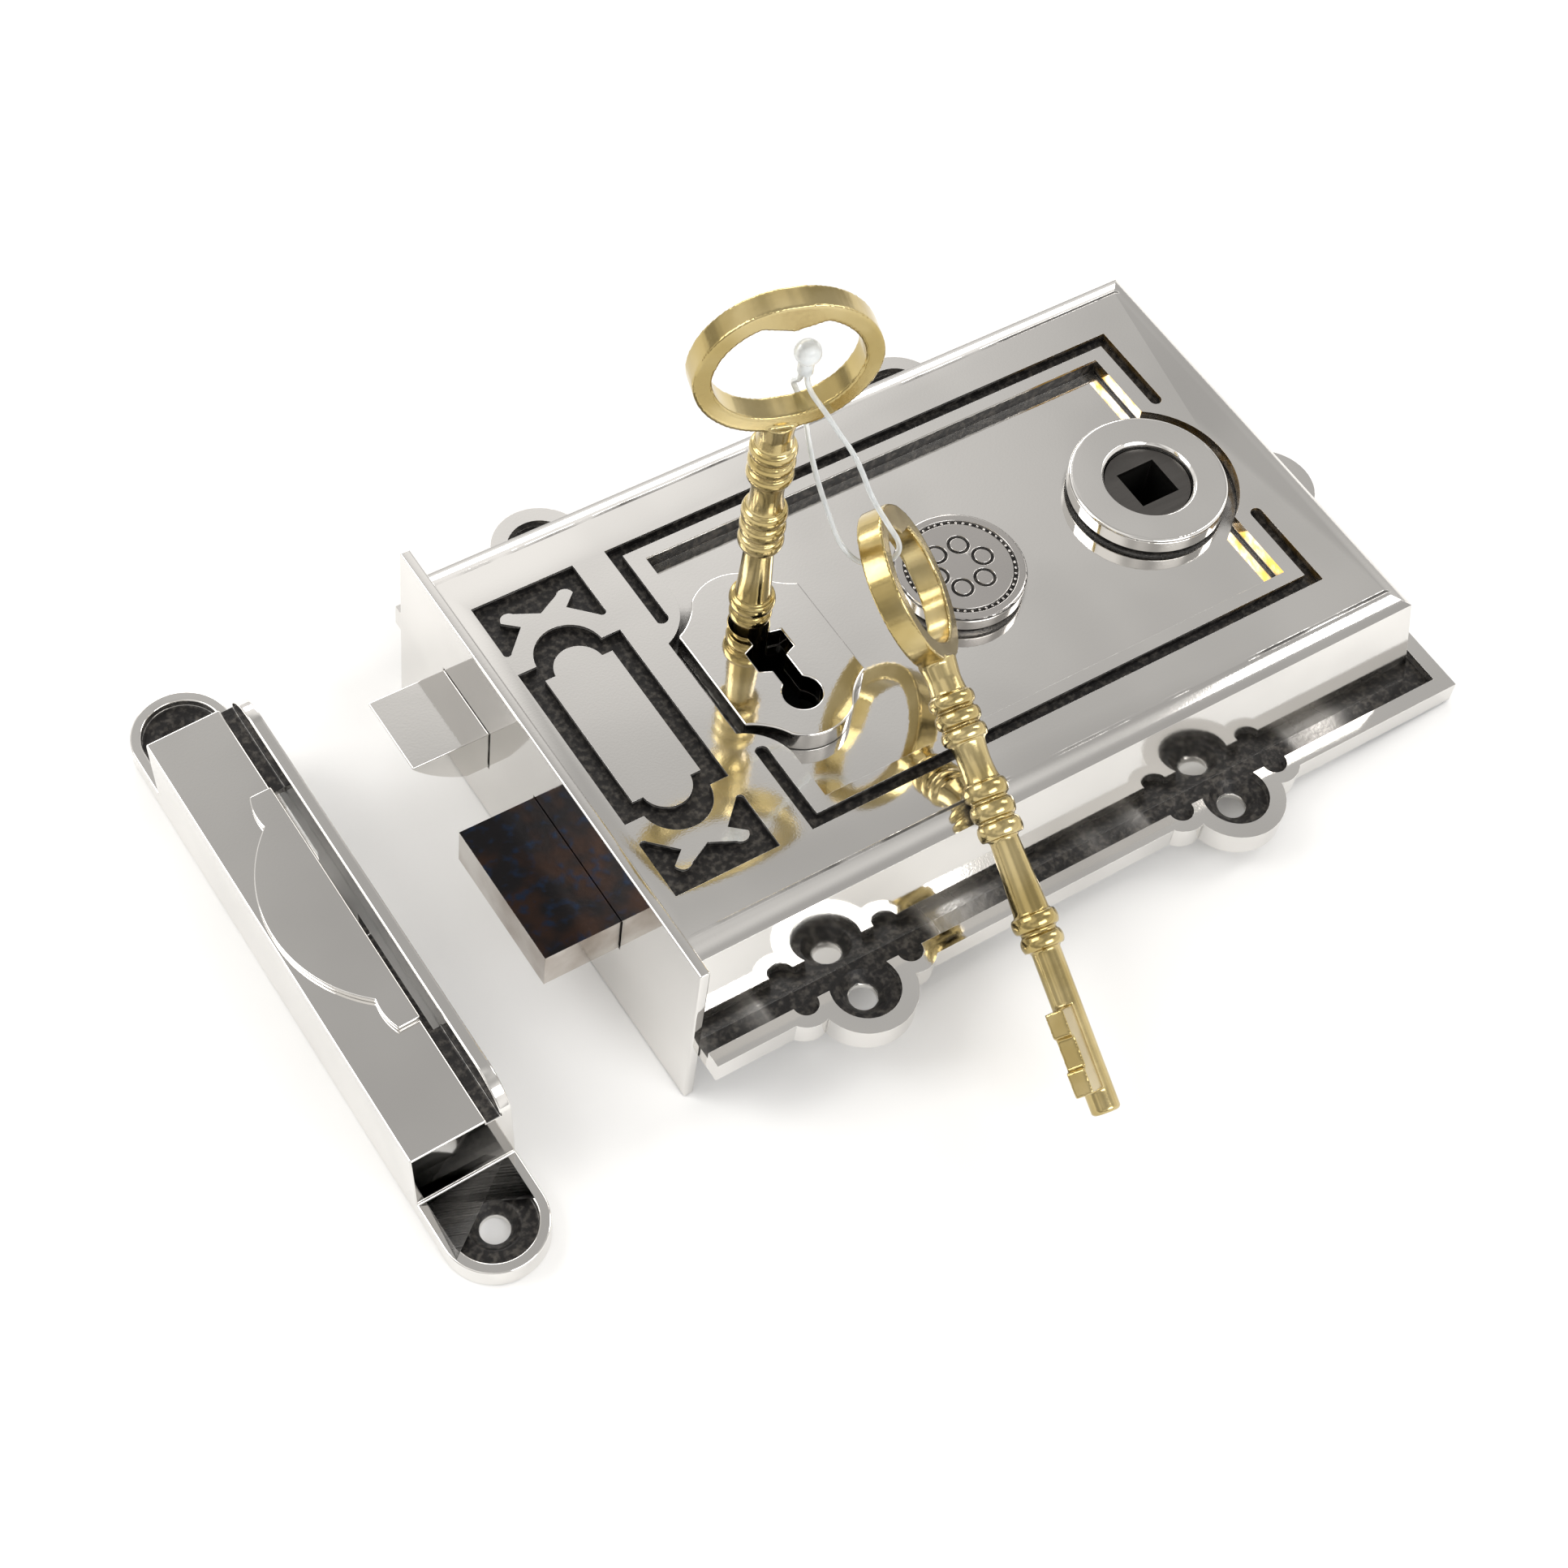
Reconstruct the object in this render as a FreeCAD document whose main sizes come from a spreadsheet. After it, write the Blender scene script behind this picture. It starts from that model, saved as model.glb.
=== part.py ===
import FreeCAD, Part
import math
import os

from FreeCAD import Placement, Rotation, Vector

# Rim lock with a sprung latch, a key-driven deadbolt, its keep and two keys on a tag loop.
# Frame: origin at the centre of the four case fixings on the mounting plane, +Z out of the door
# face, -X towards the door edge (the way the bolts throw), +Y towards the latch side.

os.makedirs("parts", exist_ok=True)
doc = FreeCAD.newDocument("rim_lock")

SIZES = {
    # case casting
    "case_height": 25.0, "case_half_width": 44.0, "case_front": -68.2, "case_rear": 80.1,
    "case_draft": 8.0, "case_wall": 2.6, "edge_step": 1.9, "edge_width": 3.7,
    "flange_top": 4.6, "flange_reach": 6.0, "bead_width": 2.9, "channel_floor": 2.9,
    "lug_span_x": 78.0, "lug_span_y": "=2 * case_half_width + 17.2", "lug_round": 9.0,
    "rear_lug_x": "=case_rear + 7.4",
    "shoulder_round": 4.6, "shoulder_offset": 10.4, "shoulder_inset": 2.2, "screw_round": 2.45,
    # face relief
    "panel_depth": 3.2, "panel_rear": "=case_rear - 16.9", "panel_front": -33.4,
    "panel_half": "=case_half_width - 15.9",
    "border_depth": 1.7, "border_width": 2.3, "border_half": "=case_half_width - 11.3", "border_front": -38.9,
    "border_rear": "=case_rear - 11.7", "cartouche_x": -55.1, "cartouche_half": 9.9, "cartouche_shoulder": 17.1,
    "cartouche_lobe": 6.3, "island_half": 6.5, "island_shoulder": 13.9, "island_lobe": 4.5,
    # forend
    "forend_thick": 1.9, "forend_half": "=case_half_width + 4.1", "forend_top": "=case_height + 1.4", "lip_drop": 12.0,
    # back cap
    "cap_thick": 1.3, "cap_gap": 0.2, "pillar_round": 3.6, "pillar_x": "=case_rear - 6.1",
    "pillar_front": "=case_front + 8.2",
    "pillar_y": "=case_half_width - 7", "cap_screw_round": 1.45, "cap_screw_head": 2.8, "cap_screw_length": 9.0,
    # spindle, follower and rose
    "spindle_x": 54.2, "spindle_square": 8.0, "journal_round": 7.8, "journal_gap": 0.05,
    "follower_round": 10.0, "follower_top": "=case_height - 0.2", "arm_radius": 20.5, "arm_width": 6.0,
    "rose_round": 14.4, "rose_bore": 8.1, "rose_top": "=case_height + 1.1",
    # badge button
    "badge_x": 13.1, "badge_round": 11.8, "badge_top": "=case_height + 0.9", "badge_ring": 9.7, "badge_stem": 3.0,
    # bolts
    "bolt_gap": 0.15, "bolt_throw": 14.3, "bolt_travel": 14.2,
    "dead_y": -11.7, "dead_width": 28.0, "dead_thick": 8.0, "dead_bottom": 3.7, "tail_thick": 3.5,
    "dead_inner": "=case_front + 8.2", "tail_low": "=dead_y - dead_width / 2 + 3.7",
    "tail_high": "=dead_y + dead_width / 2 - 0.8", "tail_rear": 18.0, "guide_y": "=dead_y - 0.8",
    "talon_top": "=key_y + 13",
    "latch_y": 25.0, "latch_width": 15.5, "latch_top": 11.4, "latch_thick": 9.7,
    "latch_inner": "=case_front + 4.2", "latch_tail": 7.0, "latch_tail_thick": 4.0,
    # keyhole and key
    "key_x": -25.8, "key_y": 7.3, "keyhole_round": 3.4, "keyhole_slot": 3.7, "keyhole_drop": 16.7,
    "escutcheon_half": 12.0, "escutcheon_shoulder": 10.4, "escutcheon_top": "=case_height + 1.1",
    "key_length": 105.0, "pin_round": 2.5, "collar_foot": "=escutcheon_top + 2.2", "bit_reach": 9.4, "bit_thick": 3.1,
    "bit_low": 4.2, "bit_high": 18.4, "bow_width": 30.6, "bow_height": 27.4, "bow_band": 3.1,
    "bow_thick": 4.4, "key_lean": -17.0,
    # lever tumbler
    "lever_low": 8.2, "lever_thick": 2.4, "lever_gap": 0.35, "lever_x": 4.0, "lever_y": 15.5,
    "stud_round": 2.0, "stump_round": 1.5, "stump_back": 24.5, "stump_y": 13.2,
    "lever_top": "=lever_y + 6.1", "finger_low": "=stump_y + stump_round + 1.8",
    # latch spring
    "coil_round": 2.4, "coil_wire": 0.7, "coil_turns": 9.0, "coil_y": "=latch_y + 1",
    "coil_z": "=latch_top - latch_thick + coil_round + 0.2",
    "coil_stop": -16.0,
    # keep
    "keep_width": 18.4, "keep_length": 91.2, "keep_height": 20.3, "keep_wall": 2.5,
    "keep_lip_top": 24.9, "keep_lip_thick": 2.2, "keep_gutter": 1.4, "keep_lug_y": 54.5,
    "keep_lug_floor": 3.0, "keep_lug_top": 4.6, "keep_x": -108.6, "keep_y": 1.8,
    "keep_slot_half": 26.5, "pad_thick": 1.2, "pad_half": 25.5, "pad_bow": 13.2,
    # tag loop
    "loop_round": 0.45, "socket_round": 2.2, "spare_roll": 46.0,
}
sheet = doc.addObject("Spreadsheet::Sheet", "Sizes")
for row, alias in enumerate(SIZES, start=1):
    sheet.set(f"A{row}", alias)
    sheet.setAlias(f"B{row}", alias)
for row, content in enumerate(SIZES.values(), start=1):
    sheet.set(f"B{row}", str(content))
doc.recompute()


def size(alias):
    """Read one driving dimension back from the sheet."""
    return float(sheet.get(alias))


def cell(formula):
    """Write a formula on the sheet's aliases, marked by @, as an expression."""
    return formula.replace("@", "Sizes.")


PARTS = []


def new_body(label):
    """Start a PartDesign body that is exported under its label."""
    body = doc.addObject("PartDesign::Body", "B_" + label)
    body.Label = label
    PARTS.append(body)
    return body


def origin_plane(body, role):
    """One of the body's own origin planes."""
    return next(item for item in body.Origin.OriginFeatures if item.Role == role)


def sketch(body, edges, height=None, role="XY_Plane"):
    """Draw edges on an origin plane of the body, lifted by a formula."""
    drawing = body.newObject("Sketcher::SketchObject", "Sketch")
    drawing.AttachmentSupport = [(origin_plane(body, role), "")]
    drawing.MapMode = "FlatFace"
    if height:
        drawing.setExpression("AttachmentOffset.Base.z", cell(height))
    drawing.addGeometry(edges, False)
    return drawing


def pad(body, edges, length, height=None, role="XY_Plane", taper=None, midplane=False):
    """Pad edges from an origin plane; length, height and taper are formulas."""
    feature = body.newObject("PartDesign::Pad", "Pad")
    feature.Profile = sketch(body, edges, height, role)
    feature.setExpression("Length", cell(length))
    feature.Midplane = midplane
    if taper:
        feature.setExpression("TaperAngle", cell(taper))
    return feature


def pocket(body, edges, length, height=None, role="XY_Plane", taper=None, upward=False, both=False):
    """Cut edges downward, upward or both ways from an origin plane."""
    feature = body.newObject("PartDesign::Pocket", "Pocket")
    feature.Profile = sketch(body, edges, height, role)
    feature.setExpression("Length", cell(length))
    feature.Reversed = upward
    feature.Midplane = both
    if taper:
        feature.setExpression("TaperAngle", cell(taper))
    return feature


def turn(body, edges, cut=False):
    """Revolve a half profile, drawn in the XZ plane, about the body's Z axis."""
    kind = "PartDesign::Groove" if cut else "PartDesign::Revolution"
    feature = body.newObject(kind, "Turned")
    feature.Profile = sketch(body, edges, role="XZ_Plane")
    axis = next(item for item in body.Origin.OriginFeatures if item.Role == "Z_Axis")
    feature.ReferenceAxis = (axis, [""])
    feature.Angle = 360
    return feature


def chain(points):
    """Closed outline. A point is (x, y), or ((through), (end)) for an arc."""
    first = points[0]
    edges = []
    last = Vector(*first)
    for item in list(points[1:]) + [first]:
        if isinstance(item[0], tuple):
            through, end = Vector(*item[0]), Vector(*item[1])
            edges.append(Part.Arc(last, through, end))
        else:
            end = Vector(*item)
            if end.distanceToPoint(last) < 1e-6:
                continue
            edges.append(Part.LineSegment(last, end))
        last = end
    return edges


def rectangle(x_low, x_high, y_low, y_high):
    """Upright rectangle between its limits."""
    return chain([(x_low, y_low), (x_high, y_low), (x_high, y_high), (x_low, y_high)])


def disc(x, y, radius):
    """Full circle as an outline."""
    return [Part.Circle(Vector(x, y), Vector(0, 0, 1), radius)]


def polar(centre, radius, degrees):
    """Point at a radius and angle from a centre."""
    angle = math.radians(degrees)
    return (centre[0] + radius * math.cos(angle), centre[1] + radius * math.sin(angle))


def flip(points):
    """Mirror an outline in the X axis."""
    return [(flip(item) if isinstance(item[0], tuple) else (item[0], -item[1])) for item in points]


def lugs():
    """Centres of the four side lugs."""
    half_x, half_y = size("lug_span_x") / 2, size("lug_span_y") / 2
    return [(sx * half_x, sy * half_y) for sx in (-1, 1) for sy in (-1, 1)]


def lug_shoulders():
    """Centres of the small lobes each side of every lug."""
    step, inset = size("shoulder_offset"), size("shoulder_inset")
    side = [(x + s * step, y - math.copysign(inset, y)) for x, y in lugs() for s in (-1, 1)]
    rear = [(size("rear_lug_x") - inset, s * step) for s in (-1, 1)]
    return side + rear


def lobed(half, shoulder, lobe, x):
    """Label shape: a tall rectangle with a round lobe at each end."""
    reach = shoulder + lobe * 0.9
    return [(x - half, -shoulder), (x - lobe, -shoulder), ((x, -reach), (x + lobe, -shoulder)),
            (x + half, -shoulder), (x + half, shoulder), (x + lobe, shoulder),
            ((x, reach), (x - lobe, shoulder)), (x - half, shoulder)]


def border(sign):
    """One of the two U-shaped borders, with rounded leg ends."""
    front, rear, half = size("border_front"), size("border_rear"), size("border_half")
    width = size("border_width")
    leg = 15.2
    points = [(front, -half), (rear, -half), (rear, -leg), ((rear - width / 2, -leg + 1.2),
              (rear - width, -leg)), (rear - width, -half + width), (front + width, -half + width),
              (front + width, -leg - 1), ((front + width / 2, -leg + 0.6), (front, -leg))]
    return points if sign < 0 else flip(points)


def fishtail(sign):
    """Corner recess with a two-pointed tail of the face left standing in it."""
    x, outer = size("cartouche_x"), size("border_half")
    half = size("cartouche_half")
    tip, notch, shelf = outer - 11.6, outer - 7.2, outer - 4.2
    points = [(x - half, outer), (x - half, tip + 1), ((x - half + 0.6, tip), (x - half + 1.4, tip + 0.4)),
              (x - 4.4, notch), (x - 7.0, shelf - 0.8), ((x - 6.6, shelf + 0.1), (x - 4.2, shelf)),
              (x, shelf - 2.1), (x + 4.2, shelf), ((x + 6.6, shelf + 0.1), (x + 7.0, shelf - 0.8)),
              (x + 4.4, notch), (x + half - 1.4, tip + 0.4), ((x + half - 0.6, tip), (x + half, tip + 1)),
              (x + half, outer)]
    return points if sign > 0 else flip(points)


def panel():
    """Sunk centre panel: it swells round the rose and round the key escutcheon."""
    half, rear, front = size("panel_half"), size("panel_rear"), size("panel_front")
    swell = size("rose_round") + 2.2
    rose_x = size("spindle_x")
    cusp = math.sqrt(swell ** 2 - (rear - rose_x) ** 2)
    bay = front - 6.2
    return [(front, -half), (rear, -half), (rear, -cusp), ((rose_x + swell, 0), (rear, cusp)),
            (rear, half), (front, half), (front, 18.5), ((front - 1.9, 13.9), (bay, 10.6)),
            (bay, -10.6), ((front - 1.9, -13.9), (front, -18.5))]


def keyhole(x_gap=0.0):
    """Pin hole above a warded slot that ends in a round foot."""
    x, y = size("key_x"), size("key_y")
    round_hole, slot = size("keyhole_round") + x_gap, size("keyhole_slot") / 2 + x_gap
    foot = y - size("keyhole_drop")
    rise = math.sqrt(round_hole ** 2 - slot ** 2)
    ward = 4.0 + x_gap
    return [(x - slot, y - rise), (x - slot, y - 4.6), (x - ward, y - 5.4), (x - ward, y - 9.6),
            (x - slot, y - 10.6), (x - slot, foot + rise), ((x, foot - round_hole), (x + slot, foot + rise)),
            (x + slot, y - 8.6), (x + ward, y - 7.8), (x + ward, y - 3.9), (x + slot, y - 3.5),
            (x + slot, y - rise), ((x, y + round_hole), (x - slot, y - rise))]


def build_case():
    """Hollow cover casting with flange, fixing lugs, face relief and cap pillars."""
    body = new_body("case_casting")
    draft = math.tan(math.radians(size("case_draft")))
    block_top = size("case_height") - size("edge_step")
    foot = size("case_half_width") + block_top * draft
    rear_foot = size("case_rear") + block_top * draft
    front, reach = size("case_front"), size("flange_reach")
    overrun = 6.0
    pad(body, rectangle(front - overrun, rear_foot + reach, -foot - reach, foot + reach), "@flange_top")
    round_lug = size("lug_round")
    for x, y in lugs() + [(size("rear_lug_x"), 0)]:
        pad(body, disc(x, y, round_lug), "@flange_top")
    for x, y in lug_shoulders():
        pad(body, disc(x, y, size("shoulder_round")), "@flange_top")
    bead = size("bead_width")
    sink = "@flange_top - @channel_floor"
    pocket(body, rectangle(front - overrun, rear_foot + reach - bead, -foot - reach + bead,
                           foot + reach - bead), sink, "@flange_top")
    for x, y in lugs() + [(size("rear_lug_x"), 0)]:
        pocket(body, disc(x, y, round_lug - bead), sink, "@flange_top")
    for x, y in lug_shoulders():
        pocket(body, disc(x, y, size("shoulder_round") - bead + 0.6), sink, "@flange_top")
    pad(body, rectangle(front - overrun, rear_foot, -foot, foot), "@case_height - @edge_step",
        taper="-@case_draft")
    edge = size("edge_width")
    half, rear = size("case_half_width"), size("case_rear")
    slope = math.degrees(math.atan(edge / size("edge_step")))
    rim = pad(body, rectangle(front - overrun, rear, -half, half), "@edge_step", "@case_height - @edge_step")
    rim.TaperAngle = -slope
    inner = size("case_wall") / math.cos(math.radians(size("case_draft")))
    pocket(body, rectangle(front + size("case_wall"), rear_foot - inner, -foot + inner, foot - inner),
           "@case_height - @panel_depth - @case_wall", taper="-@case_draft", upward=True)
    pocket(body, rectangle(front - 2 * overrun, front, -foot - 20, foot + 20), "@case_height", upward=True)
    for x, y in pillars():
        pad(body, disc(x, y, size("pillar_round")), "@case_height - @panel_depth - @cap_thick - 1",
            "@cap_thick")
        pocket(body, disc(x, y, size("cap_screw_round") + 0.05), "@cap_screw_length + 2", upward=True)
    pocket(body, chain(panel()), "@panel_depth", "@case_height")
    for sign in (-1, 1):
        pocket(body, chain(border(sign)), "@border_depth", "@case_height")
        pocket(body, chain(fishtail(sign)), "@border_depth", "@case_height")
    x = size("cartouche_x")
    outer = lobed(size("cartouche_half"), size("cartouche_shoulder"), size("cartouche_lobe"), x)
    island = lobed(size("island_half"), size("island_shoulder"), size("island_lobe"), x)
    pocket(body, chain(outer) + chain(island), "@border_depth", "@case_height")
    pocket(body, disc(size("spindle_x"), 0, size("journal_round") + size("journal_gap")),
           "@case_height", upward=True)
    pocket(body, disc(size("badge_x"), 0, size("badge_stem")), "@case_height", upward=True)
    pocket(body, chain(keyhole(0.2)), "@case_height", upward=True)
    cut_bolt_ways(body)
    for x, y in lugs() + [(size("rear_lug_x"), 0)]:
        pocket(body, disc(x, y, size("screw_round")), "@flange_top", upward=True)
        countersink(body, x, y, "@channel_floor")
    return body


def countersink(body, x, y, height):
    """Ninety-degree sink in the lug floor, as a tapered pocket."""
    feature = pocket(body, disc(x, y, size("screw_round") + size("channel_floor") - 1.0),
                     "@channel_floor - 1", height)
    feature.TaperAngle = -45


def pillars():
    """Centres of the four cap pillars."""
    y = size("pillar_y")
    return [(x, s * y) for x in (size("pillar_front"), size("pillar_x")) for s in (-1, 1)]


def cut_bolt_ways(body):
    """Openings for both bolts, through anything that stands at the forend."""
    gap = size("bolt_gap")
    low = size("case_front") - size("forend_thick") - 1
    high = size("case_front") + size("case_wall") + 4
    ways = (("dead_y", "dead_width", "@dead_bottom", "@dead_thick"),
            ("latch_y", "latch_width", "@latch_top - @latch_thick", "@latch_thick"))
    for centre, width, bottom, thick in ways:
        half = size(width) / 2 + gap
        pocket(body, rectangle(low, high, size(centre) - half, size(centre) + half),
               f"{thick} + 2 * @bolt_gap", f"{bottom} - @bolt_gap", upward=True)


def build_forend():
    """Forend plate whose lip wraps the door edge."""
    body = new_body("forend_plate")
    front = size("case_front")
    half = size("forend_half")
    pad(body, rectangle(front - size("forend_thick"), front, -half, half), "@forend_top + @lip_drop",
        "-@lip_drop")
    cut_bolt_ways(body)
    return body


def build_cap():
    """Sheet cap that closes the back of the case."""
    body = new_body("back_cap")
    draft = math.tan(math.radians(size("case_draft")))
    block_top = size("case_height") - size("edge_step")
    inset = size("case_wall") / math.cos(math.radians(size("case_draft")))
    inset += size("cap_gap") + size("cap_thick") * draft
    half = size("case_half_width") + block_top * draft - inset
    rear = size("case_rear") + block_top * draft - inset
    front = size("case_front") + size("case_wall") + size("cap_gap")
    pad(body, rectangle(front, rear, -half, half), "@cap_thick")
    pocket(body, disc(size("spindle_x"), 0, size("journal_round") + size("journal_gap")),
           "@cap_thick", upward=True)
    pocket(body, chain(keyhole()), "@cap_thick", upward=True)
    for x, y in pillars():
        pocket(body, disc(x, y, size("cap_screw_head")), "@cap_thick", upward=True,
               taper="-45")
    return body


def build_cap_screws():
    """Four countersunk screws, kept as one group of separate solids."""
    head, shank = size("cap_screw_head"), size("cap_screw_round")
    thick = size("cap_thick")
    solids = []
    for x, y in pillars():
        cone = Part.makeCone(head - 0.03, head - thick - 0.03, thick, Vector(x, y, 0))
        stem = Part.makeCylinder(shank, size("cap_screw_length"), Vector(x, y, 0))
        slot = Part.makeBox(2 * head, 0.7, 0.6, Vector(x - head, y - 0.35, 0))
        solids.append(cone.fuse(stem).cut(slot).removeSplitter())
    return feature_of("cap_screws", Part.makeCompound(solids))


def feature_of(label, shape):
    """A plain feature for a shape that neither a body nor a primitive suits."""
    item = doc.addObject("Part::Feature", "F_" + label)
    item.Shape = shape
    item.Label = label
    PARTS.append(item)
    return item


def build_rose():
    """Turned rose ring with a dark undercut at its seat."""
    body = new_body("spindle_rose")
    seat, top = size("case_height") - size("panel_depth"), size("rose_top")
    outer, bore = size("rose_round"), size("rose_bore")
    turn(body, chain([(bore, seat), (outer - 1.2, seat), (outer - 1.2, seat + 1.2), (outer, seat + 1.2),
                      (outer, top - 0.7), ((outer - 0.2, top - 0.2), (outer - 0.7, top)), (bore + 0.5, top),
                      (bore, top - 0.5)]))
    body.Placement = Placement(Vector(size("spindle_x"), 0, 0), Rotation())
    return body


def build_badge():
    """Round badge button, riveted through the panel, engraved with a plain rosette."""
    body = new_body("badge_button")
    seat, top = size("case_height") - size("panel_depth"), size("badge_top")
    outer, stem, wall = size("badge_round"), size("badge_stem") - 0.03, size("case_wall")
    turn(body, chain([(0, seat - wall - 1), (4.2, seat - wall - 1), (4.2, seat - wall), (stem, seat - wall),
                      (stem, seat), (outer - 0.8, seat), (outer - 0.8, seat + 1.3), (outer, seat + 1.3),
                      (outer, top - 0.6), ((outer - 0.2, top - 0.2), (outer - 0.6, top)), (0, top)]))
    ring = size("badge_ring")
    pocket(body, disc(0, 0, ring + 0.4) + disc(0, 0, ring - 0.4), "0.4", "@badge_top")
    for step in range(6):
        centre = polar((0, 0), 4.7, 60 * step)
        pocket(body, disc(*centre, 2.0) + disc(*centre, 1.5), "0.4", "@badge_top")
    body.Placement = Placement(Vector(size("badge_x"), 0, 0), Rotation())
    return body


def build_escutcheon():
    """Shield-shaped key escutcheon that stands in the panel."""
    body = new_body("key_escutcheon")
    x, half, side = size("key_x"), size("escutcheon_half"), size("escutcheon_shoulder")
    quarter = [(x - half, -side), ((x - 8.6, -side - 2.2), (x - 6.2, -side - 5.3)),
               ((x, -side - 7.8), (x + 6.2, -side - 5.3)), ((x + 8.6, -side - 2.2), (x + half, -side))]
    top = [(x + half, side), ((x + 8.6, side + 2.2), (x + 6.2, side + 5.3)),
           ((x, side + 7.8), (x - 6.2, side + 5.3)), ((x - 8.6, side + 2.2), (x - half, side))]
    pad(body, chain(quarter + top), "@escutcheon_top - @case_height + @panel_depth",
        "@case_height - @panel_depth")
    pocket(body, chain(keyhole()), "@escutcheon_top + 1", upward=True)
    return body


def build_follower():
    """Follower: square-holed hub, two journals and the arm that draws the latch."""
    body = new_body("follower")
    journal, hub = size("journal_round"), size("follower_round")
    floor = size("cap_thick") + 0.3
    ceiling = size("case_height") - size("panel_depth") - size("case_wall") - 0.3
    turn(body, chain([(0, 0.1), (journal, 0.1), (journal, floor), (hub, floor), (hub, ceiling),
                      (journal, ceiling), (journal, size("follower_top")), (0, size("follower_top"))]))
    reach, half = size("arm_radius"), size("arm_width") / 2
    pad(body, chain([(-half, 0), (half, 0), (half, reach), ((0, reach + half), (-half, reach))]),
        "@latch_tail_thick - 0.6", "@latch_top - @latch_tail_thick + 0.3")
    side = size("spindle_square") / 2
    pocket(body, rectangle(-side, side, -side, side), "@case_height + 5", "-1", upward=True)
    body.Placement = Placement(Vector(size("spindle_x"), 0, 0), Rotation())
    return body


def build_latch():
    """Latch bolt: curved bevel on the door side, tail and claw for the follower."""
    body = new_body("latch_bolt")
    tip = size("case_front") - size("forend_thick") - size("bolt_throw") - 0.3
    root, inner = tip + 10.3, size("latch_inner")
    top, bottom = size("latch_top"), size("latch_top") - size("latch_thick")
    centre = size("latch_y")
    side = chain([(tip, top), (tip, top - 0.5), ((tip + 4.6, top - 5.6), (root, bottom)), (inner, bottom),
                  (inner, top)])
    head = pad(body, side, "@latch_width", role="XZ_Plane", midplane=True)
    head.Profile[0].setExpression("AttachmentOffset.Base.z", cell("-@latch_y"))
    low, high = centre + 2.5 - size("latch_tail") / 2, centre + 2.5 + size("latch_tail") / 2
    claw = size("spindle_x") + size("arm_width") / 2 + 0.15
    claw_low = size("arm_radius") - 7.0
    pad(body, chain([(inner - 2, low), (claw, low), (claw, claw_low), (claw + 5, claw_low),
                     (claw + 5, high), (inner - 2, high)]), "@latch_tail_thick",
        "@latch_top - @latch_tail_thick")
    return body


def build_deadbolt():
    """Deadbolt: solid head, thin tail with guide slot and the talon that the key bit drives."""
    body = new_body("dead_bolt")
    tip = size("case_front") - size("forend_thick") - size("bolt_throw")
    centre, half = size("dead_y"), size("dead_width") / 2
    pad(body, rectangle(tip, size("dead_inner"), centre - half, centre + half), "@dead_thick", "@dead_bottom")
    key_x, key_y, reach = size("key_x"), size("key_y"), size("bit_reach")
    under = key_y - reach - 0.9
    arm_low, talon_top = key_y + 4.0, size("talon_top")
    arm_high = size("latch_y") - size("latch_width") / 2 - 0.75
    front, low, high, rear = size("dead_inner") - 2, size("tail_low"), size("tail_high"), size("tail_rear")
    notch_front, notch_rear = key_x - 11.5, key_x - 3.3
    notch_top = key_y + reach + 0.45
    pad(body, chain([(front, low), (rear, low), (rear, under), (key_x - 18.1, under), (key_x - 18.1, arm_low),
                     (notch_front, arm_low), (notch_front, notch_top), (notch_rear, notch_top),
                     (notch_rear, arm_low), (key_x + 0.9, arm_low), (key_x + 0.9, talon_top),
                     (key_x - 14.2, talon_top), (key_x - 14.2, arm_high), (key_x - 28.1, arm_high),
                     (key_x - 28.1, high), (front, high)]), "@tail_thick", "@dead_bottom")
    stud, travel, guide = size("stud_round") + 0.3, size("bolt_travel"), size("guide_y")
    pocket(body, chain([(-travel, guide - stud), (0, guide - stud), ((stud, guide), (0, guide + stud)),
                        (-travel, guide + stud), ((-travel - stud, guide), (-travel, guide - stud))]),
           "@dead_thick", "@dead_bottom", upward=True)
    return body


def build_round(label, x, y, radius, low, high):
    """A plain round post between two heights, as a bound cylinder."""
    item = doc.addObject("Part::Cylinder", "C_" + label)
    item.Label = label
    item.setExpression("Radius", cell(radius))
    item.setExpression("Height", cell(f"({high}) - ({low})"))
    item.setExpression("Placement.Base.x", cell(x))
    item.setExpression("Placement.Base.y", cell(y))
    item.setExpression("Placement.Base.z", cell(low))
    PARTS.append(item)
    return item


def build_lever():
    """Brass lever tumbler; its belly is held up by the key bit."""
    body = new_body("lever_tumbler")
    x, y = size("lever_x"), size("lever_y")
    key = (size("key_x"), size("key_y"))
    belly = size("bit_reach") + size("lever_gap")
    left, right = polar(key, belly, 135), polar(key, belly, 42)
    top, low = size("lever_top"), size("finger_low")
    finger = key[0] - size("stump_back") + 1.2
    pad(body, chain([(x - 4.5, y - 3.5), ((x + 4.6, y - 1.0), (x - 1.0, y + 4.6)), (x - 8, top),
                     (finger, top), (finger, low + 1.1), (finger + 1.3, low), (finger + 4.3, low),
                     (finger + 5, low + 0.9), (key[0] - 11, low + 0.9), left, (polar(key, belly, 90), right),
                     (key[0] + 14, y - 3.5)]), "@lever_thick", "@lever_low")
    pocket(body, disc(x, y, size("stud_round") + 0.06), "@lever_thick", "@lever_low", upward=True)
    return body


def build_lever_spring():
    """Flat spring that presses the lever down, with its anchor post."""
    low, thick = size("lever_low"), size("lever_thick")
    x, y = size("lever_x"), size("lever_top") + 0.4
    ceiling = size("case_height") - size("panel_depth") - size("case_wall")
    blade = Part.makeBox(34, 0.5, thick - 0.6, Vector(x - 30, y, low + 0.3))
    post = Part.makeCylinder(1.1, ceiling - size("cap_thick"), Vector(x + 5, y + 0.4, size("cap_thick")))
    return feature_of("lever_spring", blade.fuse(post).removeSplitter())


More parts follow.
